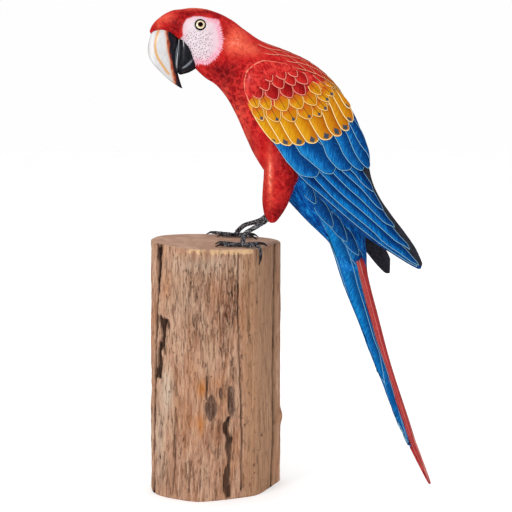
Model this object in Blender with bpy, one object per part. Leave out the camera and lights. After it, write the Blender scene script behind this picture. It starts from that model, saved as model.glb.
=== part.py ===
"""A carved and painted wooden scarlet macaw, perched on a short length of natural log.

The bird faces -X, its tail hangs towards +X, and its left side faces -Y. The origin lies
in the log's sawn bottom face, on the bird's middle plane. Shapes are written down in
millimetres and turned into metres by MM when a mesh is made.
"""
import math

import bmesh
import bpy
from mathutils import Matrix, Vector

MM = 0.001
FIT_GAP = 0.32          # clearance between touching pieces, in millimetres

# The log: a rough block sawn a little out of square at the top.
LOG_TOP = 253.0         # height of the top face above the origin
LOG_TOP_RUN_X = -0.058  # the top falls towards the tail
LOG_TOP_RUN_Y = 0.057   # and rises towards the bird's right side
LOG_CHAMFER = 2.2
LOG_TAPER = 0.97        # the top is a little smaller than the foot on the head's side
LOG_OUTLINE = [(-67, 5), (-65.5, -9), (-58, -23), (-40, -37), (-20, -46), (4, -41), (24, -34),
               (39, -26), (50, -8), (59, 10), (66, 27), (60, 40), (40, 47), (12, 49),
               (-18, 45), (-42, 36), (-60, 22)]

# The body from forehead to rump: dorsal x z, ventral x z, half width.
BODY_STATIONS = [
    (-65, 461, -63.8, 456.8, 2),
    (-60.5, 468.6, -57.5, 458.2, 8.6),
    (-52, 476, -48.5, 458.4, 13),
    (-42.5, 480.8, -41, 455.6, 16),
    (-33, 482, -32, 450.5, 18),
    (-24, 483.3, -23.5, 439, 19.5),
    (-13, 482.8, -19.5, 425, 20.5),
    (-2, 480, -10.6, 415.6, 20.8),
    (10, 475, 0, 408.6, 21),
    (25, 465.8, 10.6, 396, 22.2),
    (45.2, 452.2, 20.2, 378.6, 25),
    (68.5, 443, 29.4, 357.6, 28.2),
    (91, 432.8, 37, 341, 30.2),
    (110.5, 418, 46.6, 325.4, 30.6),
    (125, 401, 57.4, 310.4, 30),
    (133.5, 381, 69, 296.8, 28.5),
    (137, 358, 80.5, 284, 26.2),
    (142, 332, 91.5, 272.5, 23.6),
    (146, 304, 102.5, 262, 21),
    (149, 278, 112.5, 251.5, 18.2),
    (150, 257, 119, 238, 16.4),
    (150.5, 240, 123, 226, 15.2),
]
BODY_SQUARENESS = 2.25  # exponent of the body's oval sections
RING_POINTS = 20
BODY_REFINE = 1         # sections added between two stations

# Where the body is parted: a point on the cut and the cut's direction, as x z.
NECK_FRONT_CUT = ((4, 444), (0.97, -0.24))
NECK_REAR_CUT = ((46, 405), (0.80, -0.60))
RUMP_CUT = ((112, 312), (0.50, -0.866))

# The upper and lower mandibles: front x z, rear x z, half width.
UPPER_BILL = [
    (-55, 466, -41, 464, 7.5),
    (-62, 460, -36.5, 458, 11),
    (-66, 447.5, -36.4, 446, 12),
    (-65.8, 438, -37.8, 437, 11.2),
    (-61.8, 429.4, -38.4, 428, 9.8),
    (-54.2, 421.2, -37.2, 420, 7.6),
    (-45.4, 413, -35.2, 412.4, 4.8),
    (-37.2, 407.2, -33.6, 407.4, 2),
    (-33.6, 405.2, -32.9, 405.8, 0.7),
]
LOWER_BILL = [
    (-35.6, 456, -26, 458, 8.6),
    (-36.2, 446, -20, 448, 10.6),
    (-37.4, 437, -15, 438, 11.2),
    (-37.8, 428, -14, 429, 10.8),
    (-36.6, 421.6, -16, 424, 8.8),
    (-34.2, 418.8, -21.4, 421.4, 5),
]
EYE_PLACE = (-15.2, 466.6)
EYE_RADIUS = 5.6
EYE_DEPTH = 2.8

# The folded wing: lower edge x y z, upper edge x y z, outward bulge, depth at the edges.
WING_STATIONS = [
    (24.5, -24.5, 418, 30.5, -24, 430.5, 0.6, 12),
    (26, -28, 408, 45, -25, 432.4, 3.4, 12),
    (30, -30, 391, 67, -25.5, 429, 5.6, 12),
    (40.5, -32.5, 371.5, 89.5, -25.5, 418.5, 6.4, 12),
    (53.5, -34.5, 354, 112, -24, 403.5, 6.8, 12),
    (67, -35.5, 337, 131, -20.5, 386, 7, 11),
    (80.5, -35.5, 321, 142, -19, 363, 6.4, 8),
    (95, -35.5, 306, 148, -20, 338, 5.2, 5),
    (111, -35.5, 291.5, 152.5, -22, 316, 4, 4),
    (128, -35, 275.5, 160, -24, 299, 3, 3.6),
    (147, -34, 260, 171.5, -26, 282, 2.2, 3.2),
    (168, -32.5, 246.5, 184.5, -27.5, 265, 1.4, 3),
    (187, -31, 235.6, 195, -28.5, 250, 0.8, 2.6),
    (198, -30, 230.4, 201, -29.2, 237.6, 0.3, 2.2),
]
WING_ACROSS = 6         # facets across the wing
WING_REFINE = 1
WING_RIGHT_DROP = 5.7   # degrees: the right wing lies closer to the tail
WING_RIGHT_TRIM = 0.3   # and its lower edge is carved in before the tip
WING_TRIM_SPAN = (230, 306)
WING_PIVOT = (40, 425)

# The thigh: centre x y z, half length along x, half width.
THIGH_STATIONS = [
    (72, -15, 345, 22, 12),
    (67.5, -17, 331, 19, 13),
    (63.5, -18, 317, 15.6, 13),
    (60.6, -18.5, 305, 13.6, 12),
    (58.6, -18.5, 293.5, 12, 10.6),
    (56.4, -18.5, 284, 9, 8.8),
    (54.8, -18.5, 277.5, 6, 6.4),
    (54.6, -18.5, 273.8, 3, 3.4),
]

# The tail: ventral x z, dorsal x z, depth of the red ridge, half widths below and above.
TAIL_STATIONS = [
    (123.2, 225.6, 150.6, 239.5, 8.5, 15.5, 9.5),
    (127, 213, 151.5, 222.5, 8, 14.8, 8.8),
    (134, 194, 156, 202.6, 8, 13.8, 7.8),
    (143, 172.5, 162.2, 179.6, 7.6, 12.4, 7),
    (158, 133, 173, 138.8, 7, 10, 6),
    (168, 107.5, 181, 112.4, 6.6, 8.4, 5.2),
    (182.6, 69.4, 193.8, 73.6, 6.4, 6, 4.6),
    (191.4, 51, 200, 54.2, 6.4, 4.4, 4.2),
    (195.2, 43.6, 202.6, 46.4, 6.4, 3.8, 3.8),
]
TAIL_RED_END = [(203.4, 27, 209, 29.2, 3.2), (213, 8.4, 216.2, 9.4, 1.7), (215.6, 4.6, 217.2, 5, 0.9)]
TAIL_SWAY = -12.0       # sideways offset of the tail's tip, towards the bird's left
TAIL_TOP_Z = 238.0
TAIL_TIP_Z = 4.6

# Legs and feet: paths of the shank and the toes; the last two points of a toe are its claw.
SHANK_RADIUS = 2.3
TOE_RADIUS = 1.95
TOE_LIFT = 2.15         # height of a toe's middle line above the wood
HUB_RADIUS = 2.9
FEET = {
    "left": {
        "hub": (25.5, -21),
        "shank": [(57, -18.5, 283), (45, -19.4, 274), (28.2, -20.6, 264), (25.8, -21, 258)],
        "front_inner": [(15, -18.5, 0.3), (7, -17, 0.6), (2, -16, 0.6), (-2, -15.4, -1.7)],
        "front_outer": [(15, -25.5, 0.3), (7, -28, 0.5), (2, -29.4, 0.4), (-2, -30, -1.7)],
        "rear_inner": [(33, -17.5, 0.8), (40, -15, 1.4), (46.5, -13.4, 1), (50.5, -12.8, -1.6)],
        "rear_outer": [(33, -25.5, 0.6), (38, -27.6, 1.4), (42, -28.4, -1.6), (42.6, -28.8, -7),
                       (42.2, -29.4, -12), (40.6, -30.4, -17.5)],
    },
    "right": {
        "hub": (21.5, 34),
        "shank": [(57, 18.5, 283), (45, 21, 272.6), (30, 28, 267), (23.4, 33, 261)],
        "front_inner": [(12, 30, 0.3), (7, 28, 0.5), (5, 27, 0.4), (1, 26, -1.7)],
        "front_outer": [(10, 37, 0.4), (0, 39, 0.6), (-5, 40, 0.6), (-9.5, 40.8, -1.7)],
        "rear_inner": [(29, 30, 0.6), (34, 27.5, 0.8), (38, 26, 0.6), (42, 25, -1.7)],
        "rear_outer": [(29, 38, 0.6), (35.5, 40, 0.8), (40, 41, 0.4), (44, 41.4, -1.7)],
    },
}

RED = (0.55, 0.03, 0.025, 1)
CHARCOAL = (0.03, 0.03, 0.035, 1)
BLUE = (0.0, 0.12, 0.46, 1)


def clear_scene():
    for obj in list(bpy.data.objects):
        bpy.data.objects.remove(obj)


def collection(name):
    made = bpy.data.collections.new(name)
    bpy.context.scene.collection.children.link(made)
    return made


def material(name, colour, roughness, metallic=0.0):
    made = bpy.data.materials.new(name)
    made.use_nodes = True
    shader = made.node_tree.nodes["Principled BSDF"]
    shader.inputs["Base Color"].default_value = colour
    shader.inputs["Roughness"].default_value = roughness
    shader.inputs["Metallic"].default_value = metallic
    return made


def new_object(name, bm, finish, place):
    """Turn a bmesh in millimetres into an object in metres, its faces pointing out."""
    bmesh.ops.scale(bm, vec=(MM, MM, MM), verts=bm.verts)
    bmesh.ops.recalc_face_normals(bm, faces=bm.faces)
    mesh = bpy.data.meshes.new(name)
    bm.to_mesh(mesh)
    bm.free()
    obj = bpy.data.objects.new(name, mesh)
    if finish:
        mesh.materials.append(finish)
        mesh.shade_smooth()
        mesh.set_sharp_from_angle(angle=math.radians(40))
    place.objects.link(obj)
    return obj


def smooth_between(rows, parts):
    """Catmull-Rom rows between the given ones, which the result still holds."""
    rows = [Vector(row) for row in rows]
    fine = []
    for i in range(len(rows) - 1):
        a = rows[max(i - 1, 0)]
        b, c = rows[i], rows[i + 1]
        d = rows[min(i + 2, len(rows) - 1)]
        for k in range(parts):
            t = k / parts
            fine.append(b + (c - a) * (t / 2) + (2 * a - 5 * b + 4 * c - d) * (t * t / 2)
                        + (3 * b - 3 * c + d - a) * (t * t * t / 2))
    fine.append(rows[-1])
    return fine


def loft(rings):
    """A closed body from rings of equally many points, bridged and capped."""
    bm = bmesh.new()
    loops = []
    for ring in rings:
        verts = [bm.verts.new(point) for point in ring]
        loops.append([bm.edges.new((verts[i - 1], verts[i])) for i in range(len(verts))])
    for first, second in zip(loops, loops[1:]):
        bmesh.ops.bridge_loops(bm, edges=first + second)
    bmesh.ops.holes_fill(bm, edges=loops[0] + loops[-1], sides=0)
    return bm


def oval(along, across, centre, count, squareness):
    """A superellipse ring round centre, spanned by the vectors along and across."""
    ring = []
    for i in range(count):
        turn = 2 * math.pi * i / count
        c, s = math.cos(turn), math.sin(turn)
        power = 2 / squareness
        ring.append(centre + along * math.copysign(abs(c) ** power, c)
                    + across * math.copysign(abs(s) ** power, s))
    return ring


def profile_rings(stations, refine, count, squareness):
    """Rings between two lines in the XZ plane, each station x z, x z, half width."""
    rings = []
    for x1, z1, x2, z2, half in smooth_between(stations, refine + 1):
        top, low = Vector((x1, 0, z1)), Vector((x2, 0, z2))
        rings.append(oval((top - low) / 2, Vector((0, half, 0)), (top + low) / 2,
                          count, squareness))
    return rings


def body_form():
    return loft(profile_rings(BODY_STATIONS, BODY_REFINE, RING_POINTS, BODY_SQUARENESS))


def slab(bm, cut, keep_beyond, gap):
    """Cut bm along a plane seen edge-on, and close it; gap is the clearance left."""
    (x, z), (nx, nz) = cut
    normal = Vector((nx, 0, nz)).normalized()
    point = Vector((x, 0, z)) + normal * (gap if keep_beyond else -gap)
    cut_out = bmesh.ops.bisect_plane(bm, geom=bm.verts[:] + bm.edges[:] + bm.faces[:],
                                     plane_co=point, plane_no=normal,
                                     clear_inner=keep_beyond, clear_outer=not keep_beyond)
    rim = [e for e in cut_out["geom_cut"] if isinstance(e, bmesh.types.BMEdge)]
    bmesh.ops.holes_fill(bm, edges=rim, sides=0)
    return bm


def inflated(name, obj, place):
    """A wire-shown copy of a piece, grown by the fit gap, for cutting its neighbours."""
    bm = bmesh.new()
    bm.from_mesh(obj.data)
    bmesh.ops.recalc_face_normals(bm, faces=bm.faces)
    bm.normal_update()
    for vert, normal in [(v, v.normal.copy()) for v in bm.verts]:
        vert.co += normal * FIT_GAP * MM * max(1.0, vert.calc_shell_factor())
    mesh = bpy.data.meshes.new(name)
    bm.to_mesh(mesh)
    bm.free()
    cutter = bpy.data.objects.new(name, mesh)
    cutter.matrix_world = obj.matrix_world
    place.objects.link(cutter)
    hide_cutter(cutter)
    return cutter


def hide_cutter(cutter):
    cutter.hide_render = True
    cutter.display_type = "WIRE"


def cut_by(piece, *cutters):
    for cutter in cutters:
        boolean = piece.modifiers.new("Clear of " + cutter.name, "BOOLEAN")
        boolean.operation = "DIFFERENCE"
        boolean.solver = "EXACT"
        boolean.object = cutter


def log_top(x, y):
    return LOG_TOP + LOG_TOP_RUN_X * x + LOG_TOP_RUN_Y * y


def make_log(place):
    bm = bmesh.new()
    outline = smooth_between([point + (0,) for point in LOG_OUTLINE + LOG_OUTLINE[:1]], 2)[:-1]
    floor = bm.faces.new([bm.verts.new(point) for point in outline])
    grown = bmesh.ops.extrude_face_region(bm, geom=[floor])
    top_verts = [v for v in grown["geom"] if isinstance(v, bmesh.types.BMVert)]
    top_face = [f for f in grown["geom"] if isinstance(f, bmesh.types.BMFace)]
    for vert in top_verts:
        vert.co.x *= LOG_TAPER if vert.co.x < 0 else 1
        vert.co.z = log_top(vert.co.x, vert.co.y) - LOG_CHAMFER
    bmesh.ops.recalc_face_normals(bm, faces=bm.faces)
    bmesh.ops.inset_region(bm, faces=top_face, thickness=LOG_CHAMFER, depth=LOG_CHAMFER)
    wood = material("log_wood", (0.46, 0.28, 0.17, 1), 0.85)
    return new_object("log", bm, wood, place)


def make_body(place, cutters, paint):
    """Head, neck, trunk and rump are lengths of one loft, parted by plane cuts."""
    whole = new_object("body_form", body_form(), None, cutters)
    hide_cutter(whole)
    grown = inflated("body_clearance", whole, cutters)
    half_gap = FIT_GAP / 2
    lengths = {
        "head": [(NECK_FRONT_CUT, False)],
        "neck": [(NECK_FRONT_CUT, True), (NECK_REAR_CUT, False)],
        "trunk": [(NECK_REAR_CUT, True), (RUMP_CUT, False)],
        "rump": [(RUMP_CUT, True)],
    }
    pieces = {}
    for name, cuts in lengths.items():
        bm = body_form()
        for cut, keep_beyond in cuts:
            slab(bm, cut, keep_beyond, half_gap)
        pieces[name] = new_object(name, bm, paint, place)
    return pieces, grown


def make_bill(place, body_cutter):
    horn = material("bill_horn", (0.85, 0.82, 0.76, 1), 0.25)
    dark = material("bill_charcoal", CHARCOAL, 0.25)
    upper = new_object("bill_upper", loft(profile_rings(UPPER_BILL, 1, 14, 2.4)), horn, place)
    lower = new_object("bill_lower", loft(profile_rings(LOWER_BILL, 1, 14, 2.6)), dark, place)
    upper_cutter = inflated("bill_upper_clearance", upper, body_cutter.users_collection[0])
    cut_by(upper, body_cutter)
    cut_by(lower, body_cutter, upper_cutter)


def make_eyes(place, cutters, form, head):
    iris = material("eye_enamel", (0.75, 0.66, 0.45, 1), 0.15)
    for name, side in (("eye_left", -1), ("eye_right", 1)):
        start = Vector((EYE_PLACE[0], side * 100, EYE_PLACE[1])) * MM
        _, surface, outward, _ = form.ray_cast(start, Vector((0, -side, 0)))
        bm = bmesh.new()
        bmesh.ops.create_uvsphere(bm, u_segments=16, v_segments=8, radius=EYE_RADIUS)
        bmesh.ops.scale(bm, vec=(1, 1, EYE_DEPTH / EYE_RADIUS), verts=bm.verts)
        turn = outward.to_track_quat("Z", "Y").to_matrix().to_4x4()
        centre = surface / MM - outward * EYE_DEPTH * 0.45
        bmesh.ops.transform(bm, matrix=Matrix.Translation(centre) @ turn, verts=bm.verts)
        eye = new_object(name, bm, iris, place)
        cut_by(head, inflated(name + "_socket", eye, cutters))


def trim_share(z):
    """How much of the trim the lower edge takes at height z: none, full, and none again."""
    low, high = WING_TRIM_SPAN
    return math.sin(math.pi * min(max((z - low) / (high - low), 0), 1))


def wing_rings(side, drop, trim):
    """Crescent sections from the bend of the wing to its tip."""
    swing = (Matrix.Translation((WING_PIVOT[0], 0, WING_PIVOT[1]))
             @ Matrix.Rotation(math.radians(drop), 4, "Y")
             @ Matrix.Translation((-WING_PIVOT[0], 0, -WING_PIVOT[1])))
    rings = []
    for row in smooth_between(WING_STATIONS, WING_REFINE + 1):
        low, high = Vector(row[0:3]), Vector(row[3:6])
        low = low.lerp(high, trim * trim_share(low.z))
        bulge, depth = row[6], row[7]
        outer, inner = [], []
        for i in range(WING_ACROSS + 1):
            t = i / WING_ACROSS
            point = low.lerp(high, t)
            rise = bulge * math.sin(math.pi * t)
            outer.append(point + Vector((0, -rise, 0)))
            inner.append(point + Vector((0, depth - 0.4 * rise, 0)))
        ring = [swing @ point for point in outer + inner[::-1]]
        rings.append([Vector((p.x, -side * p.y, p.z)) for p in ring])
    return rings


def make_wings(place, cutters, body_cutter):
    paint = material("wing_paint", (0.02, 0.16, 0.5, 1), 0.3)
    clear = {}
    for name, side, drop, trim in (("wing_left", -1, 0, 0),
                                   ("wing_right", 1, WING_RIGHT_DROP, WING_RIGHT_TRIM)):
        wing = new_object(name, loft(wing_rings(side, drop, trim)), paint, place)
        clear[name] = inflated(name + "_clearance", wing, cutters)
        cut_by(wing, body_cutter)
    return clear


def make_thighs(place, cutters, body_cutter, wing_cutters, paint):
    clear = {}
    for name, side in (("left", -1), ("right", 1)):
        rings = []
        for x, y, z, half_x, half_y in smooth_between(THIGH_STATIONS, 2):
            rings.append(oval(Vector((half_x, 0, 0)), Vector((0, half_y, 0)),
                              Vector((x, -side * y, z)), 16, 2.1))
        thigh = new_object("thigh_" + name, loft(rings), paint, place)
        clear[name] = inflated("thigh_" + name + "_clearance", thigh, cutters)
        cut_by(thigh, wing_cutters["wing_" + name], body_cutter)
    return clear


def tail_sway(z):
    t = min(max((TAIL_TOP_Z - z) / (TAIL_TOP_Z - TAIL_TIP_Z), 0), 1)
    return TAIL_SWAY * t * t


def tail_point(low, high, height, y):
    """A point of a tail section: height runs from 0 at the underside to 1 at the ridge."""
    place = Vector((low[0], 0, low[1])).lerp(Vector((high[0], 0, high[1])), height)
    place.y = y + tail_sway(place.z)
    return place


def make_tail(place):
    red = material("tail_red", (0.5, 0.05, 0.04, 1), 0.35)
    blue = material("tail_blue", BLUE, 0.3)
    ridge, sides = [], {"left": [], "right": []}
    half_gap = FIT_GAP / 2
    for row in smooth_between(TAIL_STATIONS, 2):
        low, high, red_depth, wide, narrow = row[0:2], row[2:4], row[4], row[5], row[6]
        depth = math.dist(low, high)
        joint = 1 - red_depth / depth
        gap = FIT_GAP / depth
        ridge.append([tail_point(low, high, joint + gap, -narrow),
                      tail_point(low, high, 1 - 0.3 * red_depth / depth, -narrow * 0.8),
                      tail_point(low, high, 1, -narrow * 0.3),
                      tail_point(low, high, 1, narrow * 0.3),
                      tail_point(low, high, 1 - 0.3 * red_depth / depth, narrow * 0.8),
                      tail_point(low, high, joint + gap, narrow)])
        for name, side in (("left", -1), ("right", 1)):
            sides[name].append([tail_point(low, high, joint, side * half_gap),
                                tail_point(low, high, joint, side * narrow * 1.12),
                                tail_point(low, high, joint * 0.45, side * wide * 0.97),
                                tail_point(low, high, joint * 0.12, side * wide),
                                tail_point(low, high, 0, side * wide * 0.8),
                                tail_point(low, high, 0.04, side * half_gap)])
    for x1, z1, x2, z2, half in TAIL_RED_END:
        low, high = (x1, z1), (x2, z2)
        ridge.append([tail_point(low, high, 0, -half * 0.7), tail_point(low, high, 0.6, -half),
                      tail_point(low, high, 1, -half * 0.4), tail_point(low, high, 1, half * 0.4),
                      tail_point(low, high, 0.6, half), tail_point(low, high, 0, half * 0.7)])
    new_object("tail_red", loft(ridge), red, place)
    for name, rings in sides.items():
        new_object("tail_blue_" + name, loft(rings), blue, place)


def tube(name, points, radius, place, taper=None, sides=2):
    """A round bar along points, made as a curve and kept as a welded mesh."""
    data = bpy.data.curves.new(name, "CURVE")
    data.dimensions = "3D"
    data.bevel_depth = radius * MM
    data.bevel_resolution = sides
    data.use_fill_caps = True
    spline = data.splines.new("POLY")
    spline.points.add(len(points) - 1)
    for i, point in enumerate(points):
        spline.points[i].co = (*(Vector(point) * MM), 1)
        spline.points[i].radius = taper[i] if taper else 1.0
    guide = bpy.data.objects.new(name, data)
    place.objects.link(guide)
    seen = guide.evaluated_get(bpy.context.evaluated_depsgraph_get())
    mesh = bpy.data.meshes.new_from_object(seen)
    bm = bmesh.new()
    bm.from_mesh(mesh)
    bmesh.ops.remove_doubles(bm, verts=bm.verts, dist=0.00001)
    bmesh.ops.recalc_face_normals(bm, faces=bm.faces)
    bm.to_mesh(mesh)
    bm.free()
    solid = bpy.data.objects.new(name, mesh)
    solid.matrix_world = guide.matrix_world
    bpy.data.objects.remove(guide)
    bpy.data.curves.remove(data)
    solid.name = name
    place.objects.link(solid)
    return solid


def toe_path(hub, steps):
    """A toe's path from its hub; each step's height is above the wood."""
    path = [(hub[0], hub[1], log_top(*hub) + TOE_LIFT + 0.4)]
    for x, y, rise in steps:
        path.append((x, y, log_top(x, y) + TOE_LIFT + rise))
    return [Vector(point) for point in path]


def make_toe(name, path, place, cutters):
    """The scaly toe as a tube to be joined, and its hooked claw as a tapering horn."""
    *toe, before_tip, tip = path
    toe_end = toe[-1]
    toe_obj = tube(name + "_form", smooth_between(toe, 2), TOE_RADIUS, cutters)
    hide_cutter(toe_obj)
    start = toe_end + (before_tip - toe_end).normalized() * (FIT_GAP + 0.25)
    horn = smooth_between([start, start.lerp(before_tip, 0.55), before_tip, tip], 2)
    count = len(horn) - 1
    taper = [1 - 0.82 * (i / count) ** 1.4 for i in range(count + 1)]
    claw = tube(name.replace("toe", "claw"), horn, TOE_RADIUS * 0.86, place, taper)
    return toe_obj, claw


def join_by_union(base, others):
    for other in others:
        union = base.modifiers.new("Join " + other.name, "BOOLEAN")
        union.operation = "UNION"
        union.solver = "EXACT"
        union.object = other


def make_hub(name, hub, place):
    bm = bmesh.new()
    bmesh.ops.create_uvsphere(bm, u_segments=12, v_segments=8, radius=HUB_RADIUS)
    centre = Vector((hub[0], hub[1], log_top(*hub) + HUB_RADIUS + FIT_GAP))
    bmesh.ops.translate(bm, vec=centre, verts=bm.verts)
    return new_object(name, bm, None, place), centre


def make_legs(place, cutters, thigh_cutters):
    skin = material("leg_speckled", (0.11, 0.1, 0.1, 1), 0.6)
    horn = material("claw_black", (0.02, 0.02, 0.02, 1), 0.35)
    for name, foot in FEET.items():
        hub_obj, centre = make_hub("foot_" + name, foot["hub"], place)
        hub_obj.data.materials.append(skin)
        toes = []
        for toe in ("front_inner", "front_outer", "rear_inner", "rear_outer"):
            toe_name = "toe_" + name + "_" + toe
            form, claw = make_toe(toe_name, toe_path(foot["hub"], foot[toe]), place, cutters)
            claw.data.materials.append(horn)
            toes.append(form)
        join_by_union(hub_obj, toes)
        shank_path = smooth_between(foot["shank"] + [tuple(centre + Vector((0, 0, 1)))], 2)
        shank = tube("shank_" + name, shank_path, SHANK_RADIUS, place)
        shank.data.materials.append(skin)
        seat_top = centre + Vector((0, 0, HUB_RADIUS + FIT_GAP))
        hub_clear = tube("shank_" + name + "_seat", [centre + Vector((0, 0, -8)), seat_top],
                         SHANK_RADIUS * 2.5, cutters)
        hide_cutter(hub_clear)
        cut_by(shank, thigh_cutters[name], hub_clear)


def build():
    clear_scene()
    parts = collection("carved_macaw_on_log")
    cutters = collection("cutters")
    paint = material("body_paint", RED, 0.35)
    make_log(parts)
    body, body_cutter = make_body(parts, cutters, paint)
    make_bill(parts, body_cutter)
    make_eyes(parts, cutters, bpy.data.objects["body_form"], body["head"])
    wing_cutters = make_wings(parts, cutters, body_cutter)
    thigh_cutters = make_thighs(parts, cutters, body_cutter, wing_cutters, paint)
    make_tail(parts)
    make_legs(parts, cutters, thigh_cutters)


build()
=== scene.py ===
# The looks of a carved and painted scarlet macaw perched on a length of log.
# The bird faces -X, its left side faces -Y; shapes are written in millimetres and made in metres.
import math
from functools import partialmethod

import bmesh
import bpy
import numpy as np
from mathutils import Matrix, Vector, noise
from mathutils.bvhtree import BVHTree
from mathutils.geometry import barycentric_transform


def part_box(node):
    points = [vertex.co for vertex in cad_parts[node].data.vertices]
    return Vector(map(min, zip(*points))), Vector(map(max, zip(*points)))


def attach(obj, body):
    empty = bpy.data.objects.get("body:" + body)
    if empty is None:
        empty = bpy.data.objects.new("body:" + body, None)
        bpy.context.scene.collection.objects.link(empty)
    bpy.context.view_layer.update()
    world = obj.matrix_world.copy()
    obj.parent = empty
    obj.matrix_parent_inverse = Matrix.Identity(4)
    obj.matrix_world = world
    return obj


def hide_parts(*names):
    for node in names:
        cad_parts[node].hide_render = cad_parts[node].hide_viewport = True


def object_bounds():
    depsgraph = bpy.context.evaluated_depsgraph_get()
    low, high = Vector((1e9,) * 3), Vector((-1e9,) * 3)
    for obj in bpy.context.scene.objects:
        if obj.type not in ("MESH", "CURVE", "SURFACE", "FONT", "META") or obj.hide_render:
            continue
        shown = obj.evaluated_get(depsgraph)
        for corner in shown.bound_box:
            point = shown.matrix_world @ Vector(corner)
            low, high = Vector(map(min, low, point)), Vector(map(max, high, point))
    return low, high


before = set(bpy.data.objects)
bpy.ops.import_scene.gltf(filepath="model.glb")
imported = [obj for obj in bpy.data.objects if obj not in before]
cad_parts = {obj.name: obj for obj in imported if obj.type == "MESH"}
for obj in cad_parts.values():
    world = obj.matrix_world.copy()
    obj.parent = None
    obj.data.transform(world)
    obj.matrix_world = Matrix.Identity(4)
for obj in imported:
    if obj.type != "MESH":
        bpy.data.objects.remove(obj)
CAD_BOX = [list(corner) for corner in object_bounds()]
MM = 0.001

# ---------------------------------------------------------------- the carved forms

# The body from forehead to rump: dorsal x z, ventral x z, half width.
BODY_STATIONS = [
    (-65, 461, -63.8, 456.8, 2), (-60.5, 468.6, -57.5, 458.2, 8.6), (-52, 476, -48.5, 458.4, 13),
    (-42.5, 480.8, -41, 455.6, 16), (-33, 482, -34.2, 451, 18), (-24, 483.3, -26, 440, 19.5),
    (-13, 482.8, -21.6, 426.6, 20.5), (-2, 480, -10.6, 415.6, 20.8), (10, 475, 0, 408.6, 21),
    (25, 465.8, 10.6, 396, 22.2), (45.2, 452.2, 20.2, 378.6, 25), (68.5, 443, 29.4, 357.6, 28.2),
    (91, 432.8, 37, 341, 30.2), (110.5, 418, 46.6, 325.4, 30.6), (125, 401, 57.4, 310.4, 30),
    (133.5, 381, 69, 296.8, 28.5), (137, 358, 80.5, 284, 26.2), (142, 332, 91.5, 272.5, 23.6),
    (146, 304, 102.5, 262, 21), (149, 278, 112.5, 251.5, 18.2), (150, 257, 119, 238, 16.4),
    (150.5, 240, 123, 226, 15.2),
]
# The thigh: centre x y z, half length along x, half width.
THIGH_STATIONS = [
    (72, -15, 345, 22, 12), (67.5, -17, 331, 19, 13), (63.5, -18, 317, 15.6, 13),
    (60.6, -18.5, 305, 13.6, 12), (58.6, -18.5, 293.5, 12, 10.6), (56.4, -18.5, 284, 9, 8.8),
    (54.8, -18.5, 277.5, 6, 6.4), (54.6, -18.5, 273.8, 3, 3.4),
]
# The mandibles: front x z, rear x z, half width.
UPPER_BILL = [
    (-55, 466, -41, 464, 7.5), (-62, 460, -36.5, 458, 11), (-66, 447.5, -36.4, 446, 12),
    (-65.8, 438, -37.8, 437, 11.2), (-61.8, 429.4, -38.4, 428, 9.8), (-54.2, 421.2, -37.2, 420, 7.6),
    (-45.4, 413, -35.2, 412.4, 4.8), (-37.2, 407.2, -33.6, 407.4, 2), (-33.6, 405.2, -32.9, 405.8, 0.7),
]
LOWER_BILL = [
    (-35.6, 456, -26, 458, 8.6), (-36.2, 446, -20, 448, 10.6), (-37.4, 437, -15, 438, 11.2),
    (-38, 428, -15, 430, 10.8), (-37.8, 422.4, -17.4, 426.4, 9), (-36.8, 419.8, -21.4, 423.4, 6.4),
    (-34.6, 418.4, -26.4, 420.6, 3.6),
]
EYE_PLACE = (-15.2, 466.6)      # x z

# The folded wing: lower edge x y z, upper edge x y z, outward bulge, depth at the edges.
WING_STATIONS = [
    (24.5, -24.5, 418, 30.5, -24, 430.5, 0.6, 12), (26, -28, 408, 45, -25, 432.4, 3.4, 12),
    (30, -30, 391, 67, -25.5, 429, 5.6, 12), (40.5, -32.5, 371.5, 89.5, -25.5, 418.5, 6.4, 12),
    (53.5, -34.5, 354, 112, -24, 403.5, 6.8, 12), (67, -35.5, 337, 131, -20.5, 386, 7, 11),
    (80.5, -35.5, 321, 142, -19, 363, 6.4, 8), (95, -35.5, 306, 148, -20, 338, 5.2, 5),
    (111, -35.5, 291.5, 152.5, -22, 316, 4, 4), (128, -35, 275.5, 160, -24, 299, 3, 3.6),
    (147, -34, 260, 171.5, -26, 282, 2.2, 3.2), (168, -32.5, 246.5, 184.5, -27.5, 265, 1.4, 3),
    (187, -31, 234.4, 195, -28.5, 250, 0.8, 2.6), (198, -30, 228.6, 201, -29.2, 237.6, 0.3, 2.2),
    (201, -29.9, 229.2, 202.4, -29.4, 233.4, 0.1, 1.9),
]
# The right wing hangs lower, by degrees about the pivot, and its far half is trimmed shorter.
WING_RIGHT_DROP = 5.7
WING_RIGHT_TRIM = 0.38
WING_TRIM_SPAN = (230, 306)
WING_RIGHT_END = 178.6
WING_RIGHT_LOWEST = 216.4
WING_PIVOT = (40, 425)
PLATE_PARTS = 28
PAST_BOARD = 0.3        # the share of a feather's reach beyond the board that is kept

# The tail: ventral x z, dorsal x z, depth of the red ridge, half widths below and above.
TAIL_STATIONS = [
    (119.4, 238, 149.4, 251, 10.5, 13, 8.4),
    (123.2, 225.6, 150.6, 239.5, 10.5, 15.5, 9.5), (127, 213, 151.5, 222.5, 10, 14.8, 8.8),
    (134, 194, 156, 202.6, 10, 13.8, 7.8), (143, 172.5, 162.2, 179.6, 9.4, 12.4, 7),
    (158, 133, 173, 138.8, 8.6, 10, 6), (168, 107.5, 181, 112.4, 7.6, 8.4, 5.2),
    (182.6, 69.4, 193.8, 73.6, 7, 6, 4.6), (191.4, 51, 200, 54.2, 6.8, 4.4, 4.2),
    (195.2, 43.6, 202.6, 46.4, 6.6, 3.8, 3.8),
]
TAIL_RED_END = [(203.4, 27, 209, 29.2, 3.2), (213, 8.4, 216.2, 9.4, 1.7), (215.6, 4.6, 217.2, 5, 0.9)]
TAIL_SWAY = -12.0
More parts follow.
